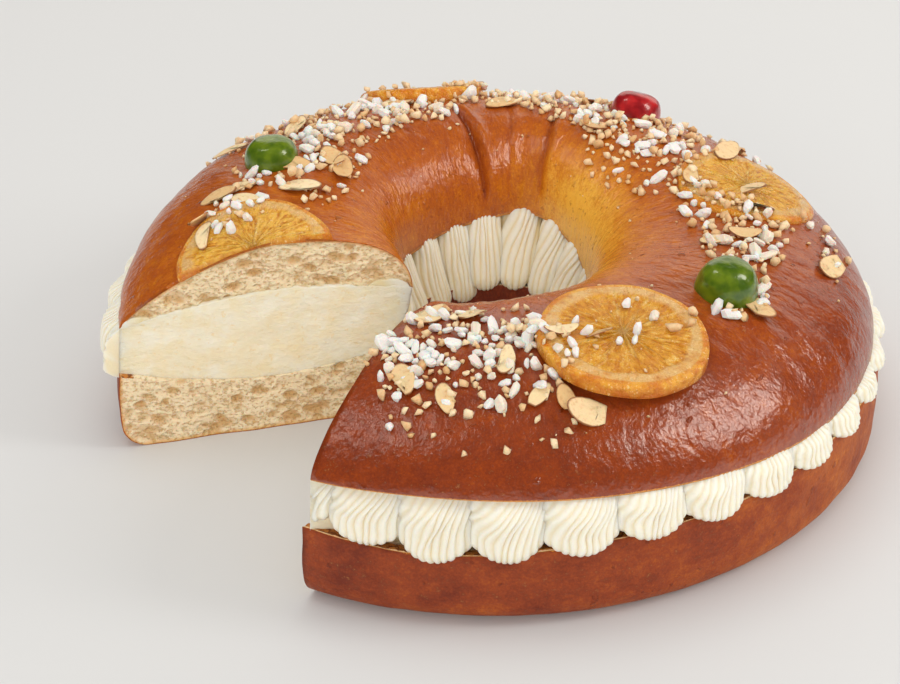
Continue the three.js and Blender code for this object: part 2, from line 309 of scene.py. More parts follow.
# %% [markdown]
# ## Writing a finish as an expression
#
# A material in Blender is a net of nodes. Written out link by link it is hard to read, so a
# small class wraps one output socket and gives it the usual operators. An expression such as
# `0.3 + 0.2 * spots` then adds the Math nodes itself. Colours never go through a Math node,
# which would turn them grey: `blend` mixes two, and `paint` lays several over each other.

# %% Values


class Value:
    """An output socket that takes part in expressions."""

    def __init__(self, finish, socket):
        self.finish = finish
        self.socket = socket

    def maths(self, operation, first, second):
        return self.finish.node("ShaderNodeMath", {"operation": operation}, {0: first, 1: second})

    def __add__(self, other):
        return self.maths("ADD", self, other)

    def __sub__(self, other):
        return self.maths("SUBTRACT", self, other)

    def __rsub__(self, other):
        return self.maths("SUBTRACT", other, self)

    def __mul__(self, other):
        return self.maths("MULTIPLY", self, other)

    def __truediv__(self, other):
        return self.maths("DIVIDE", self, other)

    def __pow__(self, other):
        return self.maths("POWER", self, other)

    def step(self, low, high):
        """A soft step from 0 at low to 1 at high."""
        settings = {"interpolation_type": "SMOOTHSTEP"}
        return self.finish.node("ShaderNodeMapRange", settings, {0: self, 1: low, 2: high})

    __radd__ = __add__
    __rmul__ = __mul__


# %% Colours and finishes


def linear(red, green, blue):
    """A colour as a screen shows it, from 0 to 255, as Blender's linear values."""
    values = [channel / 255 for channel in (red, green, blue)]
    return tuple(v / 12.92 if v <= 0.04045 else ((v + 0.055) / 1.055) ** 2.4 for v in values)


class Finish:
    """One material. The keywords set sockets of its shader that are the same all over."""

    def __init__(self, name, **constants):
        self.material = bpy.data.materials.new(name)
        self.material.use_nodes = True
        self.tree = self.material.node_tree
        self.shader = self.tree.nodes["Principled BSDF"]
        for socket, value in constants.items():
            self.shader.inputs[socket.replace("_", " ")].default_value = value
        self.place = self.node("ShaderNodeTexCoord", output="Object")

    def node(self, kind, settings=None, sockets=None, output=0):
        """Adds a node: settings first, then the values or links of its sockets."""
        node = self.tree.nodes.new(kind)
        for key, value in (settings or {}).items():
            setattr(node, key, value)
        for key, value in (sockets or {}).items():
            if isinstance(value, Value):
                self.tree.links.new(value.socket, node.inputs[key])
            else:
                node.inputs[key].default_value = value
        return Value(self, node.outputs[output])

    def stored(self, name):
        """A value that was stored on the vertices."""
        return self.node("ShaderNodeAttribute", {"attribute_name": name}, output="Fac")

    def part(self, vector, axis):
        """The x, y or z of a vector."""
        return self.node("ShaderNodeSeparateXYZ", sockets={0: vector}, output=axis)

    def joined(self, x, y, z):
        """A vector from three values."""
        return self.node("ShaderNodeCombineXYZ", sockets={0: x, 1: y, 2: z})

    def stretched(self, vector, factors):
        """A vector times a factor for each direction; a small factor makes long spots."""
        return self.node("ShaderNodeVectorMath", {"operation": "MULTIPLY"},
                         {0: vector, 1: factors})

    def speckle(self, size, detail=3.0, roughness=0.55, vector=None):
        """Noise from 0 to 1 with spots of a size in millimetres."""
        sockets = {"Vector": vector or self.place, "Scale": 1 / (size * MM), "Detail": detail,
                   "Roughness": roughness}
        return self.node("ShaderNodeTexNoise", sockets=sockets)

    def blend(self, share, first, second):
        """A colour between two colours, which are values or (red, green, blue) up to 255."""
        sockets = {0: share}
        for key, colour in ((6, first), (7, second)):
            sockets[key] = colour if isinstance(colour, Value) else (*linear(*colour), 1.0)
        return self.node("ShaderNodeMix", {"data_type": "RGBA"}, sockets, 2)

    def paint(self, colour, *layers):
        """A colour with (share, colour) layers laid over it in turn."""
        for share, layer in layers:
            colour = self.blend(share, colour, layer)
        return colour

    def ramp(self, share, *stops):
        """A colour that runs through (position, colour) stops."""
        steps = [self.node("ShaderNodeMapRange", sockets={0: share, 1: low, 2: high})
                 for (low, _), (high, _) in zip(stops, stops[1:])]
        return self.paint(stops[0][1], *zip(steps, [colour for _, colour in stops[1:]]))

    def relief(self, *layers):
        """Bumps, as (height value, depth in millimetres) layers, on the shader's normal."""
        normal = None
        for height, depth in layers:
            sockets = {"Height": height, "Distance": depth * MM, "Strength": 1.0}
            if normal:
                sockets["Normal"] = normal
            normal = self.node("ShaderNodeBump", sockets=sockets)
        self.feed("Normal", normal)

    def feed(self, socket, value):
        """Links a value to a socket of the shader."""
        self.tree.links.new(value.socket, self.shader.inputs[socket])

    def done(self):
        """The finish itself, once it has said how many nodes it took."""
        print(f"{self.material.name}: {len(self.tree.nodes)} nodes")
        return self


# %% [markdown]
# ## The crust
#
# Egg wash makes the crust glossy and lets it brown. It is darkest on top and outside, where the
# oven's heat reaches it, and stays golden on the slopes that face the hole. How far a place has
# browned is worked out on the vertices, from the place in the ring. That value also carries
# painted
# light: painted shade in the lid's creases and in the base's hole, and a base wall painted
# lighter on the right, where the light falls. The finish only adds what is smaller: mottling,
# freckles, tiny blisters, pale streaks painted as highlights, and wrinkles that catch the light.
# The wrinkles run down the slope, because the noise behind them is stretched that way on a skin
# unrolled from the ring. Base and lid share the finish, but the base has no glaze.

# %% Crust finish


def crust_finish(name, shine, roughness, blotches):
    crust = Finish(name, Specular_IOR_Level=shine)
    x, y, z = (crust.part(crust.place, axis) for axis in range(3))
    turned = math.radians((FIRST_CUT + SECOND_CUT) / 2)
    towards = x * math.cos(turned) + y * math.sin(turned)
    beside = y * math.cos(turned) - x * math.sin(turned)
    sideways = beside.maths("ARCTAN2", beside, towards) * (CREST_RADIUS * MM)
    radius = (towards ** 2 + beside ** 2) ** 0.5
    along_skin = crust.joined(sideways, radius, z)
    streak = crust.speckle(1, 3, 0.6, crust.stretched(along_skin, (0.75, 0.28, 0.45)))
    wrinkle = crust.speckle(1, 2, 0.5, crust.stretched(along_skin, (0.42, 0.16, 0.28)))
    mottle = crust.speckle(7, 4, 0.65, crust.stretched(along_skin, (1, 0.7, 0.8)))
    grain = crust.speckle(0.8, 3, 0.7)
    freckle = crust.speckle(1.8, 2, 0.5)
    blister = crust.speckle(5, 2, 0.5).step(0.67, 0.78)
    # The stored browning also holds painted light: painted shade in the creases and the hole, and
    # a base wall painted lighter on the right.
    baked_and_painted_light = crust.stored("browning") + blotches * (mottle - 0.5) + 0.5 * (grain - 0.5)
    baked_and_painted_light = baked_and_painted_light + 0.35 * (streak - 0.5)
    colour = crust.ramp(
        baked_and_painted_light,
        (0.0, (236, 174, 62)),
        (0.25, (208, 126, 26)),
        (0.5, (178, 88, 20)),
        (0.75, (146, 60, 20)),
        (1.0, (112, 40, 16)),
    )
    # Painted highlights: pale streaks painted into the colour as glints.
    painted_crust_glints = (streak * grain).step(0.31, 0.5)
    ragged = 1 - (crust.stored("from_rim") + 1.6 * (grain - 0.5)).step(0.5, 1.2)
    colour = crust.paint(
        colour,
        (freckle.step(0.62, 0.72) * 0.45, (126, 52, 16)),
        (blister * 0.35, (104, 34, 14)),
        (painted_crust_glints * 0.3, (226, 160, 92)),
        (ragged, (222, 144, 56)),
    )
    crust.feed("Base Color", colour)
    crust.feed("Roughness", roughness + 0.2 * (mottle - 0.5) + 0.12 * (grain - 0.5))
    crust.relief((wrinkle, 0.6), (streak, 0.3), (grain, 0.1), (blister, 0.5))
    return crust.done()


crust = crust_finish("glazed_crust", shine=1.0, roughness=0.2, blotches=0.46)
plain_crust = crust_finish("plain_crust", shine=0.4, roughness=0.6, blotches=0.7)

# %% [markdown]
# ## The crumb
#
# Where the knife went through, the bread is open and pale. The pores are real dents in the cut
# face, made further down. The finish paints shade into them and into smaller pores that are only
# bumps, and paints the thin brown line of the crust along the edge, from the distance to the
# crust that is stored on the vertices.

# %% Crumb finish


def crumb_finish():
    crumb = Finish("crumb", Roughness=0.85, Specular_IOR_Level=0.25,
                   Subsurface_Weight=0.2, Subsurface_Scale=0.004)
    grain = crumb.speckle(0.8, 3, 0.6)
    patch = crumb.speckle(6, 3, 0.6)
    holes = crumb.speckle(1.3, 2, 0.6, crumb.stretched(crumb.place, (0.8, 0.8, 1.4)))
    under_crust = crumb.stored("under_crust")
    edge = 1 - (under_crust + 0.8 * (grain - 0.5)).step(0.4, 1.8)
    skin = 1 - (under_crust + 0.5 * (grain - 0.5)).step(0.15, 0.6)
    toasted = (crumb.stored("toasted") + grain - 0.5).step(0.3, 0.7)
    scorched = crumb.blend(holes.step(0.45, 0.6), (190, 120, 56), (130, 72, 34))
    colour = crumb.paint(
        crumb.blend(patch, (234, 206, 162), (246, 230, 198)),
        (grain.step(0.45, 0.7) * 0.4, (226, 190, 136)),
        # Painted shade in small pores that are only bumps.
        (holes.step(0.54, 0.64) * 0.6, (206, 160, 98)),
        # Painted shade in the pores that are dents in the cut face.
        (crumb.stored("pore") * 0.8, (202, 154, 92)),
        (edge * 0.7, (214, 152, 72)),
        (toasted, scorched),
        (skin, (168, 92, 34)),
    )
    crumb.feed("Base Color", colour)
    crumb.relief((1 - holes.step(0.5, 0.66), 0.35), (grain, 0.35))
    return crumb.done()


crumb = crumb_finish()

# %% [markdown]
# ## Pores in a cut face
#
# Yeast leaves bubbles of many sizes, flattened a little by the weight of the dough. Each pore
# is an ellipse in the cut face with its own size and tilt, and pushes the vertices inside it
# inwards like half a bowl. The deepest pore wins where two overlap. The random numbers have a
# seed, so that every run gives the same bread.

# %% Pores
PORES = 900  # in each cut face
SMALLEST_PORE = 0.35
LARGEST_PORE = 1.9
RARITY = 6  # the higher, the fewer pores are large


def pore_depths(radius, height, seed):
    """How deep the pores push in at places of a cut face."""
    rng = np.random.default_rng(seed)
    depth = np.zeros(len(radius))
    for _ in range(PORES):
        middle = rng.integers(len(radius))
        size = SMALLEST_PORE + LARGEST_PORE * rng.uniform() ** RARITY
        tilt = rng.normal(0, 0.35)
        right, up = radius - radius[middle], height - height[middle]
        wide = (right * math.cos(tilt) + up * math.sin(tilt)) / (size * rng.uniform(1.1, 2.1))
        tall = (up * math.cos(tilt) - right * math.sin(tilt)) / size
        inside = np.sqrt(np.clip(1 - wide**2 - tall**2, 0, 1))
        depth = np.maximum(depth, inside * size * rng.uniform(0.4, 0.8))
    return depth


def cut_face_relief(points, share, radius, height, under_crust, seed):
    """Azimuth shifts that carve the two cut faces, and how much of a pore each vertex is, for the
    painted shade in the pores.
    """
    shift = np.zeros(len(share))
    pore = np.zeros(len(share))
    for end, inwards in ((0, 1), (1, -1)):
        face = np.abs(share[:, 1] - end) < SAME
        depth = pore_depths(radius[face], height[face], seed + end)
        depth *= smooth(0.4, 2.0, under_crust[face])
        depth += 0.35 * (1 + lumps(points[face], 1.3, seed)) * smooth(0.2, 1, under_crust[face])
        depth += 0.6 * lumps(points[face], 14, seed + 3)
        shift[face] = inwards * np.degrees(depth / radius[face])
        pore[face] = smooth(0.4, LARGEST_PORE, depth)
    return shift, pore


print("pores in the two cut faces of a layer:", 2 * PORES)


# %% [markdown]
# ## The lid
#
# The lid is one block whose underside is the knife's cut and whose top is the risen crust. The
# two long sides of the block have no height, because crust and cut meet there in the rim, so
# merging doubles closes them. On top of the large shape come swells, small blisters, and fine
# furrows that run from the hole outwards, where the skin was stretched as the dough rose.

# %% Cells, tones and creases of the lid
LID_CELLS = (96, 320, 28)
inner_tone = around([(-116, 0.45), (-60, 0.35), (-40, 0.1), (-13, 0.16), (5, 0.11), (30, 0.0),
                     (51, -0.02), (65, 0.16), (80, 0.42), (114, 0.52), (140, 0.46), (195, 0.38)])
crest_tone = around([(-116, 0.76), (-60, 0.7), (-30, 0.6), (0, 0.58), (45, 0.52), (90, 0.6),
                     (150, 0.58), (195, 0.5)])
outer_tone = around([(-116, 0.84), (-76, 0.82), (-45, 0.76), (-20, 0.84), (0, 0.78),
                     (60, 0.66), (120, 0.62), (160, 0.58), (195, 0.52)])
# Each crease: azimuth at its foot and at its top, depth and width, bulge on its right.
CREASES = ((94.5, 101, 3.2, 1.2, 2.0), (71, 73, 2.4, 1.4, 1.6), (84, 86, 0.9, 1.2, 0.4))
CREASE_FOOT = 50
CREASE_TOP = 84
ripple_height = around([(-116, 0.2), (-80, 0.35), (-55, 1.2), (-25, 0.9), (60, 0.4), (195, 0.4)])
print("cells of the lid:", math.prod(LID_CELLS), "and creases:", len(CREASES))

# %% Columns that crowd at the creases, and the creases


def crowded(along, middle=85, span=18, crowding=1.6):
    """Shares along the ring, moved so that columns lie closer together near the creases."""
    at = np.linspace(FIRST_CUT, SECOND_CUT, 400)
    density = 1 + crowding * np.exp(-(((at - middle) / span) ** 2))
    total = np.r_[0, np.cumsum((density[1:] + density[:-1]) / 2)]
    return np.interp(along, total / total[-1], np.linspace(0, 1, 400))


def crease_relief(radius, azimuth, across):
    """Sharp creases of the folded dough on the slope towards the hole."""
    up_slope = (radius - CREASE_FOOT) / (CREASE_TOP - CREASE_FOOT)
    fade = smooth(0.02, 0.12, across) * (1 - smooth(0.44, 0.58, across))
    relief = np.zeros(len(radius))
    for foot, top, deep, wide, bulge_height in CREASES:
        middle = lerp(foot, top, np.clip(up_slope, -0.3, 1.2))
        aside = radius * np.radians(half_turn(azimuth - middle))
        relief -= deep * np.exp(-((np.abs(aside) / wide) ** 1.3))
        relief += bulge_height * np.exp(-(((aside + 2.8 * wide) / (1.9 * wide)) ** 2))
    return relief * fade


# %% Lid


def lid():
    bm = unit_block(*LID_CELLS)
    refine_ends(bm, 1)
    for face in bm.faces:
        face.material_index = 0 if face.normal.z > 0.5 else 1
    share = places(bm)
    across, along, up = share.T
    azimuth = lerp(FIRST_CUT + LID_OVERHANG, SECOND_CUT - LID_OVERHANG, crowded(along))
    low_radius, low = lid_underside(across, azimuth)
    high_radius, high = dome(across, azimuth)
    radius, height = lerp(low_radius, high_radius, up), lerp(low, high, up)
    points = ring_points(radius, azimuth, height)
    thickness = np.hypot(high_radius - low_radius, high - low)
    under_crust = thickness * (1 - up)
    # The skin swells, ripples and creases, but not at its rims, where it meets the cut.
    skin = np.flatnonzero(up > 1 - SAME)
    crown = np.zeros(len(share))
    crown[skin] = np.sin(math.pi * across[skin]) ** 0.5
    swell = np.zeros(len(share))
    swell[skin] = rough(points[skin], (0.9, 26, 1), (0.35, 9, 2), (0.2, 4, 5))
    sideways = np.radians(azimuth[skin])
    furrow = unrolled(sideways * 90, across[skin] * 14)
    inner = 1 - smooth(0.25, 0.6, across[skin])
    swell[skin] += 0.4 * inner * lumps(furrow, 3.5, 3)
    ripple = unrolled(sideways * 130, across[skin] * 40)
    outer = smooth(0.55, 0.75, across[skin])
    swell[skin] += ripple_height(azimuth[skin]) * outer * lumps(ripple, 8, 4)
    creased = crease_relief(radius[skin], azimuth[skin], across[skin])
    swell[skin] += creased
    carve, pore = cut_face_relief(points, share, radius, height, under_crust, seed=11)
    # All of that moves the skin outwards: up at the crest and sideways near the rims.
    lean = math.pi * (across - 0.5)
    radius = radius + swell * crown * np.sin(lean)
    height = height + swell * crown * np.cos(lean)
    points = ring_points(radius, azimuth + carve, height)
    uneven = across + 0.04 * lumps(points, 24, 8)
    browning = lerp(inner_tone(azimuth), crest_tone(azimuth), smooth(0.12, 0.48, uneven))
    browning = lerp(browning, outer_tone(azimuth), smooth(0.5, 0.85, uneven))
    # Painted shade, with some browning: the crust is painted darker in the creases.
    browning[skin] += 0.09 * np.clip(-creased, 0, 2)
    move_to(bm, points, browning=browning, from_rim=thickness, under_crust=under_crust,
            pore=pore)
    return piece("lid_bread", bm, [crust, crumb], "top_bread")


lid_bread = lid()

# %% [markdown]
# ## The base
#
# The base is the lower half. Its wall has the rounded bottom edge of a loaf that was baked on a
# tray, and swells a little at mid height. The same kind of block is used, with real walls this
# time: more height rows lie near the bottom, where the rounding is.

# %% Base
BASE_CELLS = (60, 300, 20)
# Painted light: the wall's browning drops towards the right, so the wall is painted lighter where
# the light falls.
base_tone_and_painted_light = around([(-116, 0.86), (-85, 0.82), (-60, 0.74), (-30, 0.6), (10, 0.6), (90, 0.65),
                    (195, 0.7)])
HOLE_CORNER = 3


def rounding(height, corner):
    """How far a rounded bottom edge stands back at a height."""
    below = np.clip(1 - height / corner, 0, 1)
    return corner * (1 - np.sqrt(1 - below**2))


def base():
    bm = unit_block(*BASE_CELLS)
    refine_ends(bm, 2)
    for face in bm.faces:
        ends = abs(face.normal.y) > 0.5
        face.material_index = 1 if ends or face.normal.z > 0.5 else 0
    share = places(bm)
    across, along, up = share.T
    up = up**1.35
    azimuth = lerp(FIRST_CUT, SECOND_CUT, along)
    height = up * base_top(across, azimuth)
    inner_wall = HOLE_RADIUS + rounding(height, HOLE_CORNER)
    outer_wall = outside(azimuth) - rounding(height, BASE_CORNER)
    outer_wall = outer_wall + BASE_BULGE * np.sin(math.pi * up)
    points = ring_points(lerp(inner_wall, outer_wall, across), azimuth, height)
    uneven = rough(points, (0.45, 18, 21), (0.2, 6, 22))
    wall = across > 1 - SAME
    outer_wall = outer_wall + wall * uneven * smooth(0, 3, height)
    radius = lerp(inner_wall, outer_wall, across)
    width = outer_wall - inner_wall
    under_crust = np.minimum(np.minimum(across, 1 - across) * width, height)
    carve, pore = cut_face_relief(points, share, radius, height, under_crust, seed=31)
    top = (up > 1 - SAME) & (across > 0.01) & (across < 0.99)
    height = height + top * 0.5 * lumps(points, 3, 24)
    points = ring_points(radius, azimuth + carve, height)
    browning = base_tone_and_painted_light(azimuth) - 0.18 * (1 - smooth(1, 12, height))
    browning = browning + 0.1 * lumps(points, 22, 25)
    # Painted shade: the wall in the hole, and the inner half of the underside, are painted nearly
    # as dark as the darkest crust.
    browning = lerp(0.95, browning, smooth(0.3, 0.7, across))
    from_rim = base_top(across, azimuth) - height + 1.2 + 1.2 * lumps(points, 4, 26)
    from_rim = from_rim + 5 * (across < 0.5)
    toasted = top * smooth(0.93, 0.97, across)
    move_to(bm, points, browning=browning, from_rim=from_rim, under_crust=under_crust + 1.2 * top,
            pore=pore, toasted=toasted)
    return piece("base_bread", bm, [plain_crust, crumb], "bottom_bread")


base()

# %% [markdown]
# ## The cream
#
# Between the layers lies whipped cream. The core is one more block between the two cut faces.
# It swells out a little where the knife went through, and is smeared over the crumb by a
# fraction of a millimetre, as a knife leaves it.

# %% Cream finish and core


def cream_finish():
    cream = Finish("whipped_cream", Roughness=0.42, Subsurface_Weight=0.35,
                   Subsurface_Scale=0.006, Subsurface_Radius=(1.0, 0.75, 0.45),
                   Specular_IOR_Level=0.4)
    soft = cream.speckle(6, 3, 0.5)
    fine = cream.speckle(1.2, 3, 0.6)
    dragged = cream.stored("dragged")
    crumbs = cream.speckle(2.2, 3, 0.6).step(0.6, 0.68) * dragged
    buttery = cream.speckle(9, 3, 0.6).step(0.4, 0.65) * dragged
    colour = cream.paint(
        cream.blend(soft, (234, 227, 207), (241, 237, 223)),
        # Painted shade: ridge valleys, joints between shells, shells in the hole and the core's
        # sides are painted a warm shaded yellow.
        (cream.stored("groove") * 0.8, (231, 203, 138)),
        (crumbs * 0.55, (232, 204, 150)),
        (buttery * 0.35, (234, 208, 150)),
    )
    cream.feed("Base Color", colour)
    pulled = cream.speckle(4, 4, 0.65, cream.stretched(cream.place, (0.7, 0.7, 1.3)))
    cream.relief((fine, 0.15), (soft, 0.3), (pulled * dragged, 0.9))
    return cream.done()


cream = cream_finish()
CREAM_CELLS = (60, 90, 24)
SMEAR = 0.5


def cream_core():
    bm = unit_block(*CREAM_CELLS)
    refine_ends(bm, 1)
    share = places(bm)
    across, along, up = share.T
    azimuth = lerp(FIRST_CUT + LID_OVERHANG, SECOND_CUT - LID_OVERHANG, along)
    from_cut = np.minimum(along, 1 - along) * (SECOND_CUT - FIRST_CUT)
    inset = lerp(0.0, 0.08, smooth(0, 4, from_cut))  # the core hides behind the shells
    slot = lerp(inset, 1 - inset, across)
    low_radius, low = lerp(HOLE_RADIUS, outside(azimuth), slot), base_top(slot, azimuth)
    high_radius, high = lid_underside(slot, azimuth)
    radius, height = lerp(low_radius, high_radius, up), lerp(low - SMEAR, high + SMEAR, up)
    points = ring_points(radius, azimuth, height)
    ends = np.minimum(along, 1 - along) < SAME
    edge = np.minimum(up, 1 - up) < SAME
    height = height + ends * edge * rough(points, (1.0, 5, 41), (0.6, 2, 45))
    # How far the cream stands out of the cut faces, in millimetres, with streaks of the knife.
    streak = unrolled(radius, height * 0.25)
    proud = 0.5 + 0.45 * lumps(points, 9, 42) + 0.3 * lumps(streak, 3, 43)
    middle = np.sin(math.pi * np.clip(up, 0.02, 0.98)) ** 0.4
    outwards = np.sign(along - 0.5) * ends
    middle = middle * smooth(0, 0.2, np.minimum(across, 1 - across))
    swell = outwards * np.degrees((0.15 + proud * middle) / radius)
    points = ring_points(radius, azimuth + swell, height)
    # Painted shade: the core is painted shaded on its hidden sides, and less, in patches, on its
    # cut faces.
    groove = 0.7 - ends * (0.45 - 0.25 * lumps(points, 12, 44))
    move_to(bm, points, groove=groove, dragged=ends)
    return piece("cream_core", bm, [cream], "cream")


cream_core()

# %% [markdown]
# ## Piped shells
#
# The baker pipes a row of shells round the outside with a star nozzle. Each is a bulb whose
# ridges run from its head, under the lid, to its foot, which hangs over the edge of the base.
# A UV sphere has its rows of faces just as a shell has its ridges. Its vertices are stretched
# from foot to head, pushed out by a rounded wave for the ridges, and turned a little near the
# head for the swirl. The ridges at the sides end higher up, so the foot is a fan of teeth.

# %% One shell
SHELL_COLUMNS = 128
SHELL_ROWS = 20
SHELL_TOE = 0.22  # share of the height over which the foot is rounded
SHELL_CROWN = 0.15  # the same at the head
TOE_RIDGES = 0.5  # share of the ridges' depth that is left at the foot
RIDGE_DROP = 0.45  # by how much a ridge reaches lower than a groove
PART_SHELL = 3.5  # a shell whose middle is this many degrees past a cut is cut through


def piped_shell(whole, azimuth, facing, foot, head, reach, half, rise, ridges, depth, twist,
                seed):
    """Adds one shell. Foot and head are (radius, height); facing is 1 outwards, -1 inwards."""
    bm = bmesh.new()
    bm.verts.layers.float.new("groove")
    bmesh.ops.create_uvsphere(bm, u_segments=SHELL_COLUMNS, v_segments=SHELL_ROWS, radius=1)
    unit = places(bm)
    up = (unit[:, 2] + 1) / 2
    round_it = np.arctan2(unit[:, 1], unit[:, 0])
    wave = np.abs(np.sin(0.5 * ridges * round_it)) ** 0.7
    ridge = 1 - depth * lerp(TOE_RIDGES, 1, smooth(0, 0.4, up)) * (1 - wave)
    ridge = ridge * (1 + 0.06 * lumps(unit, 0.7, seed))
    # Ridges lie closer together in front, and are twisted and gathered towards the head.
    in_front = round_it - 0.42 * np.sin(round_it)
    neck = smooth(0.3, 1, up)
    turned = in_front + twist * neck - 0.3 * neck * np.sin(in_front)
    turned = turned + 0.1 * lumps(unit, 0.5, seed + 9)
    # Foot and head are rounded off, and the shell stands out by its reach in between.
    toe = np.sqrt(1 - np.clip(1 - up / SHELL_TOE, 0, 1) ** 2)
    closed = np.sqrt(1 - np.clip(1 - (1 - up) / SHELL_CROWN, 0, 1) ** 2)
    lean = 1 - 0.5 * smooth(0.6, 0.9, up) if facing > 0 else 1
    out = facing * reach * toe * closed * lean * ridge * np.cos(turned)
    aside = half * toe**0.35 * closed * ridge * np.sin(turned)
    lift = rise * (1 - np.clip(np.cos(turned), 0, 1)) - RIDGE_DROP * wave
    middle = lerp(foot[0], head[0], up)
    height = lerp(foot[1] + lift, head[1], up)
    points = ring_points(middle + out, azimuth + np.degrees(aside / (middle + 0.5 * out)), height)
    groove = bm.verts.layers.float["groove"]
    # Painted shade in the valleys between ridges.
    shade = 0.7 * (1 - wave) ** 1.5
    if facing < 0:  # less light falls into the hole, least of all on the feet
        shade = 1.2 * shade + 0.35 * (1 - up)
    # Painted shade in the joints between shells.
    shade = np.clip(shade + 0.7 * (1 - smooth(0.05, 0.55, np.cos(turned))), 0, 1)
    for vertex, point, value in zip(bm.verts, points * MM, shade):
        vertex.co = point
        vertex[groove] = value
    add_to(whole, bm)


def add_to(whole, bm):
    """Adds a bmesh to a larger one."""
    mesh = mesh_of(bm, "part")
    whole.from_mesh(mesh)
    bpy.data.meshes.remove(mesh)


def shell_azimuths(start, spacing):
    """Azimuths of shells that follow each other, outside the missing portion."""
    count = round(360 / spacing)
    at = [start + i * 360 / count for i in range(count)]
    low = FIRST_CUT - PART_SHELL
    return [a for a in at if low < (a - low) % 360 + low < SECOND_CUT + PART_SHELL]


print("vertices of a shell:", SHELL_COLUMNS * (SHELL_ROWS - 1) + 2)

# %% The row outside and the row in the hole
SHELL_SPACING = 9.4  # degrees between two shells outside
SHELL_START = -107.4  # azimuth of one of them
SHELL_REACH = 12
SHELL_RIDGES = 21
HOLE_SHELL_SPACING = 16.4
HOLE_SHELL_START = 95
HOLE_SHELL_REACH = 9
HOLE_SHELL_RIDGES = 13
SWIRL_RIDGES = 9
SWIRLED_TO = 88  # shells in the hole up to this azimuth have fewer ridges and lean over
UNDER_THE_LID = 5  # by how much a head goes up behind the lid's rim


def outer_shells():
    rng = np.random.default_rng(5)
    bm = bmesh.new()
    for seed, azimuth in enumerate(shell_azimuths(SHELL_START, SHELL_SPACING)):
        overhang = float(shell_overhang(azimuth)) + rng.uniform(-0.3, 0.6)
        half = 0.5 * math.radians(SHELL_SPACING) * RING_RADIUS * rng.uniform(1.2, 1.3)
        at = float(outside(azimuth)) + overhang - SHELL_REACH
        foot = (at + 2, float(base_edge(azimuth)) - float(shell_droop(azimuth))
                + rng.uniform(-0.8, 0.8))
        head = (at - 2, float(rim_height(azimuth)) + UNDER_THE_LID - 0.5)
        twist = float(shell_twist(azimuth)) + rng.uniform(-0.1, 0.1)
        piped_shell(bm, azimuth, 1, foot, head, SHELL_REACH, half, rise=rng.uniform(8, 11),
                    ridges=SHELL_RIDGES, depth=0.1, twist=twist, seed=seed)
    cut_at_the_knife(bm)
    return piece("cream_shells_outside", bm, [cream])


def hole_shells():
    rng = np.random.default_rng(8)
    bm = bmesh.new()
    for seed, azimuth in enumerate(shell_azimuths(HOLE_SHELL_START, HOLE_SHELL_SPACING)):
        edge = float(hole_edge_radius(azimuth))
        foot = (HOLE_RADIUS + HOLE_SHELL_REACH - 6,
                float(hole_shell_foot(azimuth)) + rng.uniform(-1, 1))
        head = (edge + HOLE_SHELL_REACH + 1, float(hole_edge_height(azimuth)) + UNDER_THE_LID)
        middle = (HOLE_RADIUS + edge) / 2
        half = math.radians(HOLE_SHELL_SPACING / 2) * middle * rng.uniform(1.2, 1.38)
        swirled = azimuth % 360 < SWIRLED_TO
        twist = -0.8 if swirled else rng.uniform(-0.3, 0.3)
        piped_shell(bm, azimuth + rng.uniform(-2, 2), -1, foot, head, HOLE_SHELL_REACH, half,
                    rise=rng.uniform(2, 5), ridges=SWIRL_RIDGES if swirled else HOLE_SHELL_RIDGES,
                    depth=0.12, twist=twist, seed=seed + 40)
    cut_at_the_knife(bm)
    return piece("cream_shells_hole", bm, [cream])


def cut_at_the_knife(bm):
    """Cuts shells or fruit off at the two cut faces and closes them there."""
    for azimuth, side in ((FIRST_CUT + LID_OVERHANG, 1), (SECOND_CUT - LID_OVERHANG, -1)):
        angle = math.radians(azimuth)
        along = Vector((-math.sin(angle), math.cos(angle), 0)) * side
        middle = Vector((math.cos(angle), math.sin(angle), 0))
        near = [v for v in bm.verts if v.co.dot(middle) > 0.8 * v.co.xy.length]
        faces = list({f for v in near for f in v.link_faces})
        edges = list({e for f in faces for e in f.edges})
        cut = bmesh.ops.bisect_plane(bm, geom=near + edges + faces, plane_co=(0, 0, 0),
                                     plane_no=-along, clear_outer=True)
        rims = [e for e in cut["geom_cut"] if isinstance(e, bmesh.types.BMEdge)]
        for edge in rims:
            edge.smooth = False
        bmesh.ops.holes_fill(bm, edges=rims)


outer_shells()
hole_shells()

# %% [markdown]
# ## Laying things on the crust
#
# A slice of candied orange is soft, so it leans and bends with the crust. It is made flat
# first, which is easy to get right, and then laid: the crust's slope at its place gives the
# tilt, and each vertex follows the crust up or down by a share of its own.

# %% Lay a flat shape on the crust


def crust_height(radius, azimuth):
    """Height of the plain crust at distances from the axis."""
    low, high = np.zeros(np.shape(radius)), np.ones(np.shape(radius))
    for _ in range(20):
        middle = (low + high) / 2
        short = dome(middle, azimuth)[0] < radius
        low, high = np.where(short, middle, low), np.where(short, high, middle)
    return dome(low, azimuth)[1]


def crust_point(radius, azimuth):
    height = crust_height(np.array([radius]), np.array([azimuth]))
    return Vector(ring_points(np.array([radius]), np.array([azimuth]), height)[0])


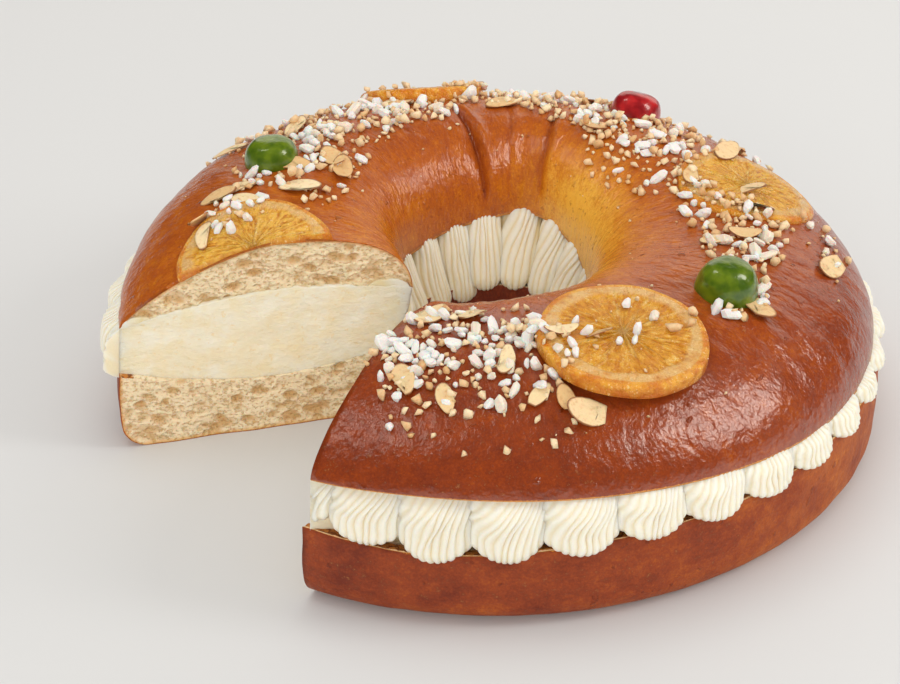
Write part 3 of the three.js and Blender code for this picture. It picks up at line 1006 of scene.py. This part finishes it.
def lay(points, azimuth, radius, give=0.0, tip=0.0, roll=0.0, sink=0.0):
    """Moves flat points, drawn with +Z up, to their place on the crust."""
    span = 8
    aside = math.degrees(span / radius)
    middle = crust_point(radius, azimuth)
    out = (crust_point(radius + span, azimuth) - crust_point(radius - span, azimuth)).normalized()
    side = (crust_point(radius, azimuth + aside) - crust_point(radius, azimuth - aside))
    side.normalize()
    out.rotate(Matrix.Rotation(math.radians(tip), 3, side))
    side.rotate(Matrix.Rotation(math.radians(roll), 3, out))
    up = out.cross(side).normalized()
    side = up.cross(out)
    floor = np.array(middle - up * sink) + np.outer(points[:, 0], out)
    floor = floor + np.outer(points[:, 1], side)
    at = np.hypot(floor[:, 0], floor[:, 1])
    turned = np.degrees(np.arctan2(floor[:, 1], floor[:, 0]))
    drop = crust_height(at, turned) - sink - floor[:, 2]
    laid = floor + np.outer(points[:, 2], up)
    laid[:, 2] += give * drop
    return laid


print(f"crest at the front: {crust_point(CREST_RADIUS, -90).z:.1f} mm high")

# %% [markdown]
# ## Candied orange
#
# A slice has an orange rind, a ring of pale pith, and flesh in ten segments with a skin between
# each two. Its outline is spun once round. Then the top is worked: the skins stand up like fine
# spokes, and the flesh between them swells. Sugar syrup has made all of it glossy and clear, and
# pale specks are painted on as glints. The slice in the way of the knife is cut too.

# %% Orange finish


def orange_finish():
    orange = Finish("candied_orange", Subsurface_Weight=0.3, Subsurface_Scale=0.004,
                    Subsurface_Radius=(1.0, 0.5, 0.12), Specular_IOR_Level=1.0)
    across, beside = orange.stored("across"), orange.stored("beside")
    out = (across ** 2 + beside ** 2 + 0.01) ** 0.5
    fan = orange.joined(across / out * 0.012, beside / out * 0.012, out * (0.25 * MM))
    sacs = orange.speckle(1, 3, 0.6, fan)
    fine = orange.speckle(0.7, 3, 0.65)
    patch = orange.speckle(5, 3, 0.6)
    flesh = orange.ramp(
        0.5 * sacs + 0.3 * patch + 0.2 * fine,
        (0.36, (190, 104, 8)),
        (0.47, (214, 136, 22)),
        (0.56, (232, 166, 46)),
        (0.66, (248, 208, 124)),
    )
    pith = orange.blend(fine, (212, 148, 62), (244, 206, 142))
    rind = orange.blend(patch.step(0.35, 0.65) * 0.6 + fine * 0.4, (206, 104, 10), (246, 182, 62))
    rind = orange.blend(orange.stored("foot") * 0.6, rind, (196, 84, 10))
    # Painted highlights: pale specks painted into the colour as glints.
    painted_orange_glints = orange.speckle(0.8, 2, 0.5).step(0.58, 0.68) * patch.step(0.42, 0.6)
    colour = orange.paint(
        flesh,
        (orange.stored("clear") * sacs.step(0.3, 0.6), (250, 196, 84)),
        (orange.stored("skin") * patch.step(0.35, 0.6) * 0.5, (240, 196, 124)),
        (orange.stored("pith") * patch.step(0.2, 0.6), pith),
        (orange.stored("rind"), rind),
        (painted_orange_glints * 0.6, (255, 226, 164)),
    )
    orange.feed("Base Color", colour)
    orange.feed("Roughness", 0.05 + 0.2 * fine)
    orange.relief((sacs, 1.3), (orange.speckle(2.2, 2, 0.5), 1.2), (fine, 0.7))
    return orange.done()


orange = orange_finish()

# %% Orange slices
RIND_WIDTH = 2.4
PITH_WIDTH = 3.9
SLICE_BEVEL = 1.4  # round the top
SLICE_CORNER = 0.8  # round the underside
SEGMENTS = 10
CUT_SLICE = "orange_slice_left"


def turned_shape(profile, steps):
    """Spins a profile of (x, z) points once round the vertical axis."""
    bm = bmesh.new()
    verts = [bm.verts.new((x, 0, z)) for x, z in profile]
    edges = [bm.edges.new(pair) for pair in zip(verts, verts[1:])]
    bmesh.ops.spin(bm, geom=verts + edges, cent=(0, 0, 0), axis=(0, 0, 1), angle=TURN,
                   steps=steps, use_merge=True)
    bmesh.ops.remove_doubles(bm, verts=bm.verts, dist=1e-4)
    return bm


def slice_profile(radius, thickness):
    """Half the outline of a slice: underside, rind, bevel and top, as (x, z) points."""
    profile = [(x, 0.0) for x in np.linspace(0, radius - SLICE_CORNER, 10)]
    profile += [(radius, z) for z in np.linspace(SLICE_CORNER, thickness - SLICE_BEVEL, 4)]
    for angle in np.linspace(0.25, 0.5 * math.pi, 5):
        profile.append((radius - SLICE_BEVEL * (1 - math.cos(angle)),
                        thickness - SLICE_BEVEL * (1 - math.sin(angle))))
    return profile + [(x, thickness) for x in np.linspace(radius - SLICE_BEVEL - 0.6, 0, 40)]


def orange_slice(name, radius, thickness, clear, place, seed):
    bm = turned_shape(slice_profile(radius, thickness), 144)
    flat = places(bm)
    rng = np.random.default_rng(seed)
    out = np.hypot(flat[:, 0], flat[:, 1])
    angle = np.arctan2(flat[:, 1], flat[:, 0]) + rng.uniform(0, TURN)
    angle = angle + 0.10 * np.sin(angle * 3) + 0.02 * np.sin(out)
    flesh_edge = radius - RIND_WIDTH - PITH_WIDTH + 0.5 * np.sin(angle * SEGMENTS)
    on_top = flat[:, 2] > thickness - 0.2
    flesh = on_top * (1 - smooth(-0.8, 0.4, out - flesh_edge))
    spoke = np.abs((angle * SEGMENTS / TURN) % 1 - 0.5) * 2
    from_skin = (1 - spoke) * math.pi * out / SEGMENTS
    skin = (1 - smooth(0.1, 0.6, from_skin)) + (1 - smooth(0.8, 2, out))
    skin = np.clip(skin, 0, 1) * flesh
    sacs = unrolled(angle * 9, out * 0.35)
    rise = flesh * (-0.9 + 0.5 * skin + 0.5 * smooth(0.4, 3, from_skin))
    rise += 0.35 * flesh * (1 - skin) * lumps(sacs, 1, seed)
    rise += on_top * 0.15 * lumps(flat, 2.2, seed + 1)
    rind = smooth(-0.4, 0.5, out - (radius - RIND_WIDTH))
    rind = np.where(flat[:, 2] < thickness - 0.5, 1, rind)
    pith = np.clip(1 - flesh - rind, 0, 1)
    foot = rind * (1 - smooth(0, 0.7 * thickness, flat[:, 2]))
    across, beside = flat[:, 0].copy(), flat[:, 1].copy()
    clear = np.full(len(flat), clear)
    flat[:, 2] += rise
    swell = 1 + 0.012 * np.sin(angle * 3 + seed) + 0.008 * np.sin(angle * 7)
    flat[:, :2] *= swell[:, None]
    move_to(bm, lay(flat, **place), skin=skin, pith=pith, rind=rind, foot=foot, across=across,
            beside=beside, clear=clear)
    if name == CUT_SLICE:
        cut_at_the_knife(bm)
    return piece(name.replace("slice", "round"), bm, [orange], name)


# Each slice: name, radius, thickness, how clear the syrup has made it, place.
SLICES = (
    ("orange_slice_front", 29, 5.5, 0.1, dict(azimuth=-65, radius=99.5, give=0.3, tip=-4)),
    ("orange_slice_right", 27, 5, 0.5, dict(azimuth=16, radius=100, give=1, sink=3)),
    ("orange_slice_back", 26, 6.5, 0,
     dict(azimuth=105.5, radius=116, give=0.8, roll=7, tip=5, sink=2)),
    (CUT_SLICE, 29.5, 3.6, 0.7, dict(azimuth=194.5, radius=90.5, give=1, sink=0.6)),
)
fruit = []
for seed, (name, radius, thickness, clear, place) in enumerate(SLICES):
    fruit.append(orange_slice(name, radius, thickness, clear, place, seed))

# %% [markdown]
# ## Candied cherries
#
# A candied cherry is cut in half and pressed on, round side up. Its profile is a quarter of an
# ellipse that turns under at the foot. The skin is smooth, with shallow dents, and the syrup
# makes it look wet: a strong clear coat over a deep colour that lets some light through.

# %% Cherries
CHERRY_TUCK = 0.5  # angle by which the skin turns under at the foot
CHERRY_FOOT = 0.55  # depth of what is tucked under, as a share of an ellipse's
CHERRY_FULLNESS = 0.6  # 1 is an ellipse, and less is squarer


def cherry_finish(name, deep, bright):
    cherry = Finish(name, Roughness=0.3, Coat_Weight=0.8, Coat_Roughness=0.05,
                    Subsurface_Weight=0.45, Subsurface_Scale=0.005,
                    Subsurface_Radius=(1.0, 0.8, 0.3))
    patch = cherry.speckle(5, 2, 0.5)
    cherry.feed("Base Color", cherry.blend(patch.step(0.3, 0.7), deep, bright))
    cherry.relief((cherry.speckle(2.5, 2, 0.5), 0.35))
    return cherry.done()


green_syrup = cherry_finish("candied_green_cherry", (66, 94, 8), (106, 126, 16))
red_syrup = cherry_finish("candied_red_cherry", (136, 10, 18), (190, 32, 34))

CHERRIES = (
    ("green_cherry_left", 10.5, 9, green_syrup, "green_cherry", dict(azimuth=156, radius=95)),
    ("green_cherry_right", 11.2, 11.5, green_syrup, "green_cherry",
     dict(azimuth=-33.2, radius=96.5)),
    ("red_cherry_back", 10.5, 9.5, red_syrup, "red_cherry", dict(azimuth=57.5, radius=106.5)),
)


def half_cherry(name, radius, height, finish, place, seed):
    profile = [(0, -height / 3)]
    for angle in np.linspace(-CHERRY_TUCK, 0.5 * math.pi, 22):
        wide = radius * max(math.cos(angle), 0) ** CHERRY_FULLNESS
        tall = height * (math.sin(angle) if angle > 0 else CHERRY_FOOT * math.sin(angle))
        profile.append((wide, tall))
    profile[-1] = (0, height)
    bm = turned_shape(profile, 64)
    flat = places(bm)
    dents = 1 + 0.05 * lumps(flat, 9, seed) + 0.012 * lumps(flat, 4, seed + 1)
    move_to(bm, lay(flat * dents[:, None], **place))
    return piece(name.replace("_cherry", "_glace"), bm, [finish], name)


for seed, (name, radius, height, finish, slot, place) in enumerate(CHERRIES):
    fruit.append(half_cherry(name, radius, height, finish, place, seed + 50))

# %% [markdown]
# ## Sugar and almonds
#
# Pearl sugar, chopped almond and almond flakes are too small to be solids of their own. There
# are hundreds of them, so each kind has a few shapes with few faces, which are copied, turned
# and dropped on whatever lies below. To find that, a ray is sent straight down on to a tree of
# all the faces of the lid and the fruit. A piece may lie on another one, as in a real heap.

# %% Ground to drop things on
RAY_START = 0.2  # metres, above everything
STEEPEST = 0.15  # nothing stays where the normal's upward share is less


def ground_tree(things):
    """One tree of the faces of several pieces."""
    corners, faces = [], []
    for thing in things:
        start = len(corners)
        corners += [vertex.co.copy() for vertex in thing.data.vertices]
        faces += [[start + i for i in polygon.vertices] for polygon in thing.data.polygons]
    return BVHTree.FromPolygons(corners, faces)


ground = ground_tree([lid_bread, *fruit])


def ground_at(azimuth, radius):
    """The highest point and its normal at a place, in millimetres, or None in the gap."""
    x, y = ring_points(np.array([radius]), np.array([azimuth]), np.zeros(1))[0][:2] * MM
    point, normal, _, _ = ground.ray_cast(Vector((x, y, RAY_START)), Vector((0, 0, -1)))
    if point is None or normal.z < STEEPEST:
        return None
    return point / MM, normal


print(f"ground at the front: {ground_at(-90, CREST_RADIUS)[0].z:.1f} mm high")


# %% Shapes of the small toppings


def nib_shape(seed):
    """A grain of pearl sugar: a small block with soft edges, knocked out of shape."""
    rng = np.random.default_rng(seed)
    bm = bmesh.new()
    bmesh.ops.create_cube(bm, size=1.8)
    for vertex in bm.verts:
        vertex.co += Vector(rng.uniform(-0.45, 0.45, 3))
    bmesh.ops.bevel(bm, geom=bm.edges[:], offset=0.45, affect="EDGES", segments=1, profile=0.5,
                    material=-1)
    for vertex in bm.verts:
        vertex.co += Vector(rng.uniform(-0.07, 0.07, 3))
    return shape_arrays(bm)


def chip_shape(seed):
    """A chip of chopped almond: the hull of a few random points."""
    rng = np.random.default_rng(seed)
    bm = bmesh.new()
    for _ in range(13):
        bm.verts.new(Vector(rng.normal(0, 1, 3)).normalized() * rng.uniform(0.8, 1.15))
    hull = bmesh.ops.convex_hull(bm, input=bm.verts[:])
    bmesh.ops.delete(bm, geom=list({*hull["geom_interior"], *hull["geom_unused"]}),
                     context="VERTS")
    return shape_arrays(bm)


FLAKE_WIDTH = 0.55  # share of its length


def flake_shape(seed):
    """An almond flake: a thin oval with one pointed end and a bend. Some are broken."""
    rng = np.random.default_rng(seed)
    bm = bmesh.new()
    bmesh.ops.create_circle(bm, cap_ends=True, segments=20, radius=1)
    for _ in range(rng.integers(0, 2)):
        way = rng.uniform(0, TURN)
        plane = Vector((math.cos(way), math.sin(way), 0))
        everything = bm.verts[:] + bm.edges[:] + bm.faces[:]
        bmesh.ops.bisect_plane(bm, geom=everything, plane_co=plane * rng.uniform(0.45, 0.9),
                               plane_no=plane, clear_outer=True)
    for width in (0.13, 0.3):
        middle = max(bm.faces, key=lambda face: face.calc_area())
        bmesh.ops.inset_individual(bm, faces=[middle], thickness=width)
    bmesh.ops.solidify(bm, geom=bm.faces[:], thickness=0.07)
    bend = rng.uniform(-0.12, 0.3)
    for vertex in bm.verts:
        x, y, z = vertex.co
        narrow = 1 - 0.3 * smooth(-0.2, 1, x)
        vertex.co = (x, y * narrow * FLAKE_WIDTH, z + bend * x * x + rng.uniform(-0.015, 0.015))
    return shape_arrays(bm)


def shape_arrays(bm):
    """A shape's vertices and faces as arrays, with its normals outwards."""
    bmesh.ops.recalc_face_normals(bm, faces=bm.faces)
    bm.verts.index_update()
    corners = places(bm)
    faces = [[v.index for v in f.verts] for f in bm.faces]
    bm.free()
    return corners, faces


NIBS = [nib_shape(seed) for seed in range(14)]
CHIPS = [chip_shape(seed) for seed in range(14)]
FLAKES = [flake_shape(seed) for seed in range(10)]
for kind, shapes in (("nib", NIBS), ("chip", CHIPS), ("flake", FLAKES)):
    print("faces of a", kind, "at most:", max(len(faces) for _, faces in shapes))

# %% [markdown]
# ## Where the toppings fall
#
# The baker throws them on by the handful, so they lie in drifts with a few strays around. Each
# drift is a middle, two half widths and how many grains of each kind it holds. A grain whose
# middle would fall into another one is thrown again, and after a few tries lies on top of it.

# %% Drifts of sugar and chopped almond
# Each drift: azimuth, radius, half width along and across in millimetres, nibs, chips.
DRIFTS = (
    (264, 91, 30, 12, 54, 44), (275, 103, 18, 13, 18, 16), (254, 101, 14, 12, 10, 14),
    (265, 114, 30, 8, 5, 26), (266, 130, 32, 9, 1, 12), (262, 73, 24, 8, 7, 18),
    (153, 92, 28, 14, 24, 50), (158, 70, 22, 9, 5, 26), (128, 92, 26, 18, 26, 76),
    (178, 97, 16, 10, 14, 10), (112, 84, 18, 8, 7, 24), (85, 104, 26, 15, 20, 90),
    (64, 97, 28, 20, 14, 96), (45, 88, 26, 16, 16, 70), (40, 68, 22, 12, 4, 34),
    (10, 78, 20, 8, 10, 34), (352, 92, 24, 14, 24, 70), (326, 103, 13, 7, 6, 14),
    (358, 122, 20, 10, 4, 14), (60, 125, 60, 12, 8, 60), (130, 124, 50, 12, 6, 40),
    (295, 99, 24, 20, 7, 5),
)
STRAYS = 100
TRIES = 8  # for each grain
CLOSEST = 0.75  # share of two grains' half widths that their middles keep apart
LYING = 0.55  # height of a grain's middle above the ground, as a share of its half width
ON_TOP = 1.6  # the same for a grain that lies on another one
NIB_SIZES = (1.3, 2.6)  # smallest and largest half width in millimetres
CHIP_SIZES = (1.0, 2.7)
STRAY_SIZES = (0.3, 1.0)
print("grains to throw:", sum(drift[4] + drift[5] for drift in DRIFTS) + STRAYS)

# %% A heap of grains


class Heap:
    """The grains of one kind that have been thrown so far."""

    def __init__(self, shapes):
        self.shapes = shapes
        self.corners = []
        self.faces = []
        self.tones = []
        self.rims = []
        self.count = 0

    def add(self, rng, point, normal, size, lean=0.4, turn=None, flat=False):
        """Puts one shape down: size is its three half widths."""
        corners, faces = self.shapes[rng.integers(len(self.shapes))]
        start = self.count
        turned = Matrix.Rotation(rng.uniform(0, TURN) if turn is None else turn, 3, "Z")
        tilt = Vector(normal) + Vector(rng.normal(0, lean, 3))
        stand = Vector((0, 0, 1)).rotation_difference(tilt).to_matrix()
        shape = corners * np.array(size)
        if not flat:
            tumble = Matrix.Rotation(rng.uniform(0, TURN), 3, Vector(rng.normal(0, 1, 3)))
            shape = shape @ np.array(tumble.lerp(Matrix.Identity(3), 0.5)).T
        shape = shape @ np.array(stand @ turned).T + np.array(point)
        self.corners.append(shape)
        self.faces += [[start + i for i in face] for face in faces]
        self.tones += [rng.uniform()] * len(corners)
        self.rims += list(np.hypot(corners[:, 0], corners[:, 1] / FLAKE_WIDTH) * flat)
        self.count += len(corners)

    def piece(self, name, finish, slot, flat_faces):
        mesh = bpy.data.meshes.new(name)
        mesh.from_pydata((np.concatenate(self.corners) * MM).tolist(), [], self.faces)
        for name_stored, values in (("tone", self.tones), ("rim", self.rims)):
            layer = mesh.attributes.new(name_stored, "FLOAT", "POINT")
            layer.data.foreach_set("value", values)
        return finish_mesh(name, mesh, [finish], flat=flat_faces)


# %% Throw the grains
nibs, chips = Heap(NIBS), Heap(CHIPS)
lying = []  # middles and half widths of all the grains thrown so far


def on_a_cherry(azimuth, radius):
    """Whether a place is on a cherry, where nothing stays."""
    for _, wide, _, _, _, place in CHERRIES:
        aside = math.radians(azimuth - place["azimuth"])
        apart = radius**2 + place["radius"] ** 2 - 2 * radius * place["radius"] * math.cos(aside)
        if apart < (wide + 1.5) ** 2:
            return True
    return False


def throw(rng, heap, azimuth, radius, along, across, sizes, longest=1.3):
    """Throws one grain into a drift."""
    for attempt in range(TRIES):
        spread, way = math.sqrt(rng.uniform()), rng.uniform(0, TURN)
        at_radius = radius + across * spread * math.sin(way)
        at = azimuth + math.degrees(along * spread * math.cos(way) / radius)
        found = ground_at(at, at_radius)
        if found is None or on_a_cherry(at, at_radius):
            continue
        point, normal = found
        size = lerp(*sizes, rng.uniform() ** 1.3)
        lift = size * LYING
        for other, half in lying:
            if (other - point).length < CLOSEST * (size + half):
                lift = size * ON_TOP
                break
        if lift > size and attempt < TRIES - 2:
            continue
        middle = point + normal * lift
        lying.append((middle, size))
        half = (size * rng.uniform(0.9, longest), size * rng.uniform(0.75, 0.95),
                size * rng.uniform(0.55, 0.85))
        heap.add(rng, middle, normal, half)
        return


def throw_drifts():
    rng = np.random.default_rng(26)
    for azimuth, radius, along, across, sugar, almond in DRIFTS:
        for _ in range(sugar):
            throw(rng, nibs, azimuth, radius, along, across, NIB_SIZES, longest=1.7)
        for _ in range(almond):
            throw(rng, chips, azimuth, radius, along * 1.15, across * 1.2, CHIP_SIZES)
    for _ in range(STRAYS):
        middle = lerp(FIRST_CUT + 4, SECOND_CUT - 4, rng.uniform())
        throw(rng, chips, middle, rng.uniform(50, 130), 4, 4, STRAY_SIZES)


throw_drifts()
print("grains:", len(lying))

# %% Almond flakes, one by one
# Each flake: azimuth, radius, turn in degrees, half length in millimetres.
FLAKES_LAID = (
    (284, 125, 84, 9), (290, 100, 60, 5.5), (281, 120, 10, 6), (88, 88, 130, 8.5),
    (158, 84, 20, 8.5), (150, 72, 150, 8), (12, 98, 160, 8), (4, 97, 175, 8), (347, 82, 20, 6),
    (352, 92, 10, 6.5), (352, 124, 60, 9.5), (326, 108, 165, 9), (283, 96, 100, 6.5),
    (264, 72, 40, 8), (252, 72, 160, 8), (254, 110, 30, 8), (272, 102, 170, 7), (172, 106, 10, 8),
    (181, 109, 60, 7.5), (170, 99, 30, 7.5), (262, 117, 20, 6.5), (277, 117, 140, 6),
    (30, 105, 30, 8.5), (60, 78, 70, 7.5), (115, 96, 50, 7.5), (140, 104, 110, 8),
    (70, 120, 20, 8), (95, 124, 140, 8.5), (40, 126, 70, 8), (150, 122, 30, 8), (20, 80, 60, 7),
    (167, 76, 10, 8.5), (153, 66, 120, 7.5), (175, 94, 150, 7.5), (186, 108, 80, 8),
)
flakes = Heap(FLAKES)


def lay_flakes():
    rng = np.random.default_rng(4)
    for azimuth, radius, turn, half in FLAKES_LAID:
        point, normal = ground_at(azimuth, radius)
        size = (half, half * rng.uniform(0.85, 1.1), half * 0.9)
        facing = math.radians(turn + azimuth)
        flakes.add(rng, point + normal * 1.6, normal, size, 0.12, facing, flat=True)


lay_flakes()
print("flakes:", len(FLAKES_LAID))

# %% [markdown]
# ## Finishes of the toppings
#
# Pearl sugar is white and a little see-through at its edges. Almond is cream-coloured inside
# and toasts to light brown. A random tone is stored on every grain, so that no two neighbours
# have quite the same colour.

# %% Sugar and almond finishes


def sugar_finish():
    sugar = Finish("pearl_sugar", Roughness=0.5, Subsurface_Weight=0.4, Subsurface_Scale=0.002)
    tone = sugar.stored("tone")
    colour = sugar.blend(tone.step(0.55, 1.0), (232, 228, 221), (232, 218, 196))
    sugar.feed("Base Color", colour)
    sugar.relief((sugar.speckle(0.7, 3, 0.6), 0.3))
    return sugar.done()


def almond_finish(name, pale, toasted, dark):
    almond = Finish(name, Roughness=0.55, Subsurface_Weight=0.15, Subsurface_Scale=0.002)
    grain = almond.speckle(1.6, 3, 0.6)
    colour = almond.paint(
        almond.blend(almond.stored("tone"), pale, toasted),
        (grain.step(0.5, 0.75) * 0.6, dark),
        (almond.stored("rim").step(0.88, 1.0) * 0.9, (138, 78, 36)),
    )
    almond.feed("Base Color", colour)
    almond.relief((grain, 0.3))
    return almond.done()


sugar = sugar_finish()
chopped = almond_finish("chopped_almond", (243, 219, 178), (220, 174, 118), (196, 140, 84))
flaked = almond_finish("almond_flakes", (242, 216, 170), (224, 180, 122), (200, 142, 86))
nibs.piece("pearl_sugar", sugar, "sugar_nibs", True)
chips.piece("chopped_almond", chopped, "toasted_almond", False)
flakes.piece("almond_flakes", flaked, "toasted_almond", False)

# %% [markdown]
# ## The studio
#
# Food like this is shot on a pale seamless table, under large soft lights, so that the shadow
# is faint. Those lights stand on the right, behind, overhead and in front, and most of them give
# no reflections. A glaze shows every lamp, so its highlights are drawn by two small lights of
# their own that give nothing but reflections. That way the glaze and the shadows can be set
# apart. The camera looks down at about thirty degrees.

# %% Table
TABLE_HALF = 4  # metres


def table():
    bm = bmesh.new()
    bmesh.ops.create_grid(bm, x_segments=2, y_segments=2, size=TABLE_HALF)
    mesh = mesh_of(bm, "table")
    paper = Finish("pale_table", Roughness=0.6, Specular_IOR_Level=0.2)
    tone = paper.speckle(900, 1, 0.5)
    paper.feed("Base Color", paper.blend(tone, (209, 208, 206), (213, 212, 210)))
    mesh.materials.append(paper.done().material)
    put_in_scene("table", mesh)


table()

# %% Lights
LIT_PLACE = Vector((0, 0, 0.04))
WHITE = (1, 1, 1)
WARM = (1.0, 0.95, 0.86)
SKY_COLOUR = (1.0, 0.99, 0.975, 1.0)
SKY_STRENGTH = 0.74


def soft_light(name, place, size, power, colour=WHITE, shine=True, fill=True):
    """An area light: size in metres, power in watts, shine for gloss and fill for the rest."""
    light = bpy.data.lights.new(name, "AREA")
    light.color = colour
    light.shape = "RECTANGLE"
    light.size, light.size_y = size
    light.energy = power
    thing = put_in_scene(name, light)
    thing.location = place
    thing.rotation_euler = (LIT_PLACE - Vector(place)).to_track_quat("-Z", "Y").to_euler()
    thing.visible_glossy = shine
    thing.visible_diffuse = fill


soft_light("light_right", (1.05, -0.16, 0.72), (0.34, 0.6), 4.5, shine=False)
soft_light("sheen_right", (0.97, -0.17, 0.87), (0.4, 0.6), 5.6, WARM, fill=False)
soft_light("sheen_left", (-0.6, 0.1, 1.12), (0.14, 0.4), 1.1, WARM, fill=False)
soft_light("light_behind", (0.35, 1.5, 0.6), (2.2, 0.85), 5.5, WARM)
soft_light("light_overhead", (-0.2, 0.2, 1.6), (1.2, 1.2), 6, shine=False)
soft_light("light_front", (-0.8, -3.6, 1.4), (3.6, 2.0), 62, shine=False)
world = bpy.data.worlds.new("studio")
world.use_nodes = True
sky = world.node_tree.nodes["Background"]
sky.inputs["Color"].default_value = SKY_COLOUR
sky.inputs["Strength"].default_value = SKY_STRENGTH
world.cycles_visibility.glossy = False
bpy.context.scene.world = world
bpy.context.scene.view_settings.view_transform = "Standard"
print("lights:", ", ".join(light.name for light in bpy.data.lights))

# %% Camera
CAMERA_PLACE = Vector((0, -0.679145, 0.414177))
LOOK = Vector((-0.02250612, 0.86693614, -0.49791083))
RIGHT = Vector((0.99974048, 0.0177592, -0.01426797))
LENS = 81.2


def camera():
    data = bpy.data.cameras.new("camera")
    data.lens = LENS
    data.sensor_width = 36
    data.sensor_fit = "HORIZONTAL"
    data.clip_start = 0.01
    thing = put_in_scene("camera", data)
    up = RIGHT.cross(LOOK)
    turned = Matrix((RIGHT, up, -LOOK)).transposed().to_4x4()
    thing.matrix_world = Matrix.Translation(CAMERA_PLACE) @ turned
    bpy.context.scene.camera = thing


camera()
print(f"camera {CAMERA_PLACE.length:.2f} m from the middle of the ring")
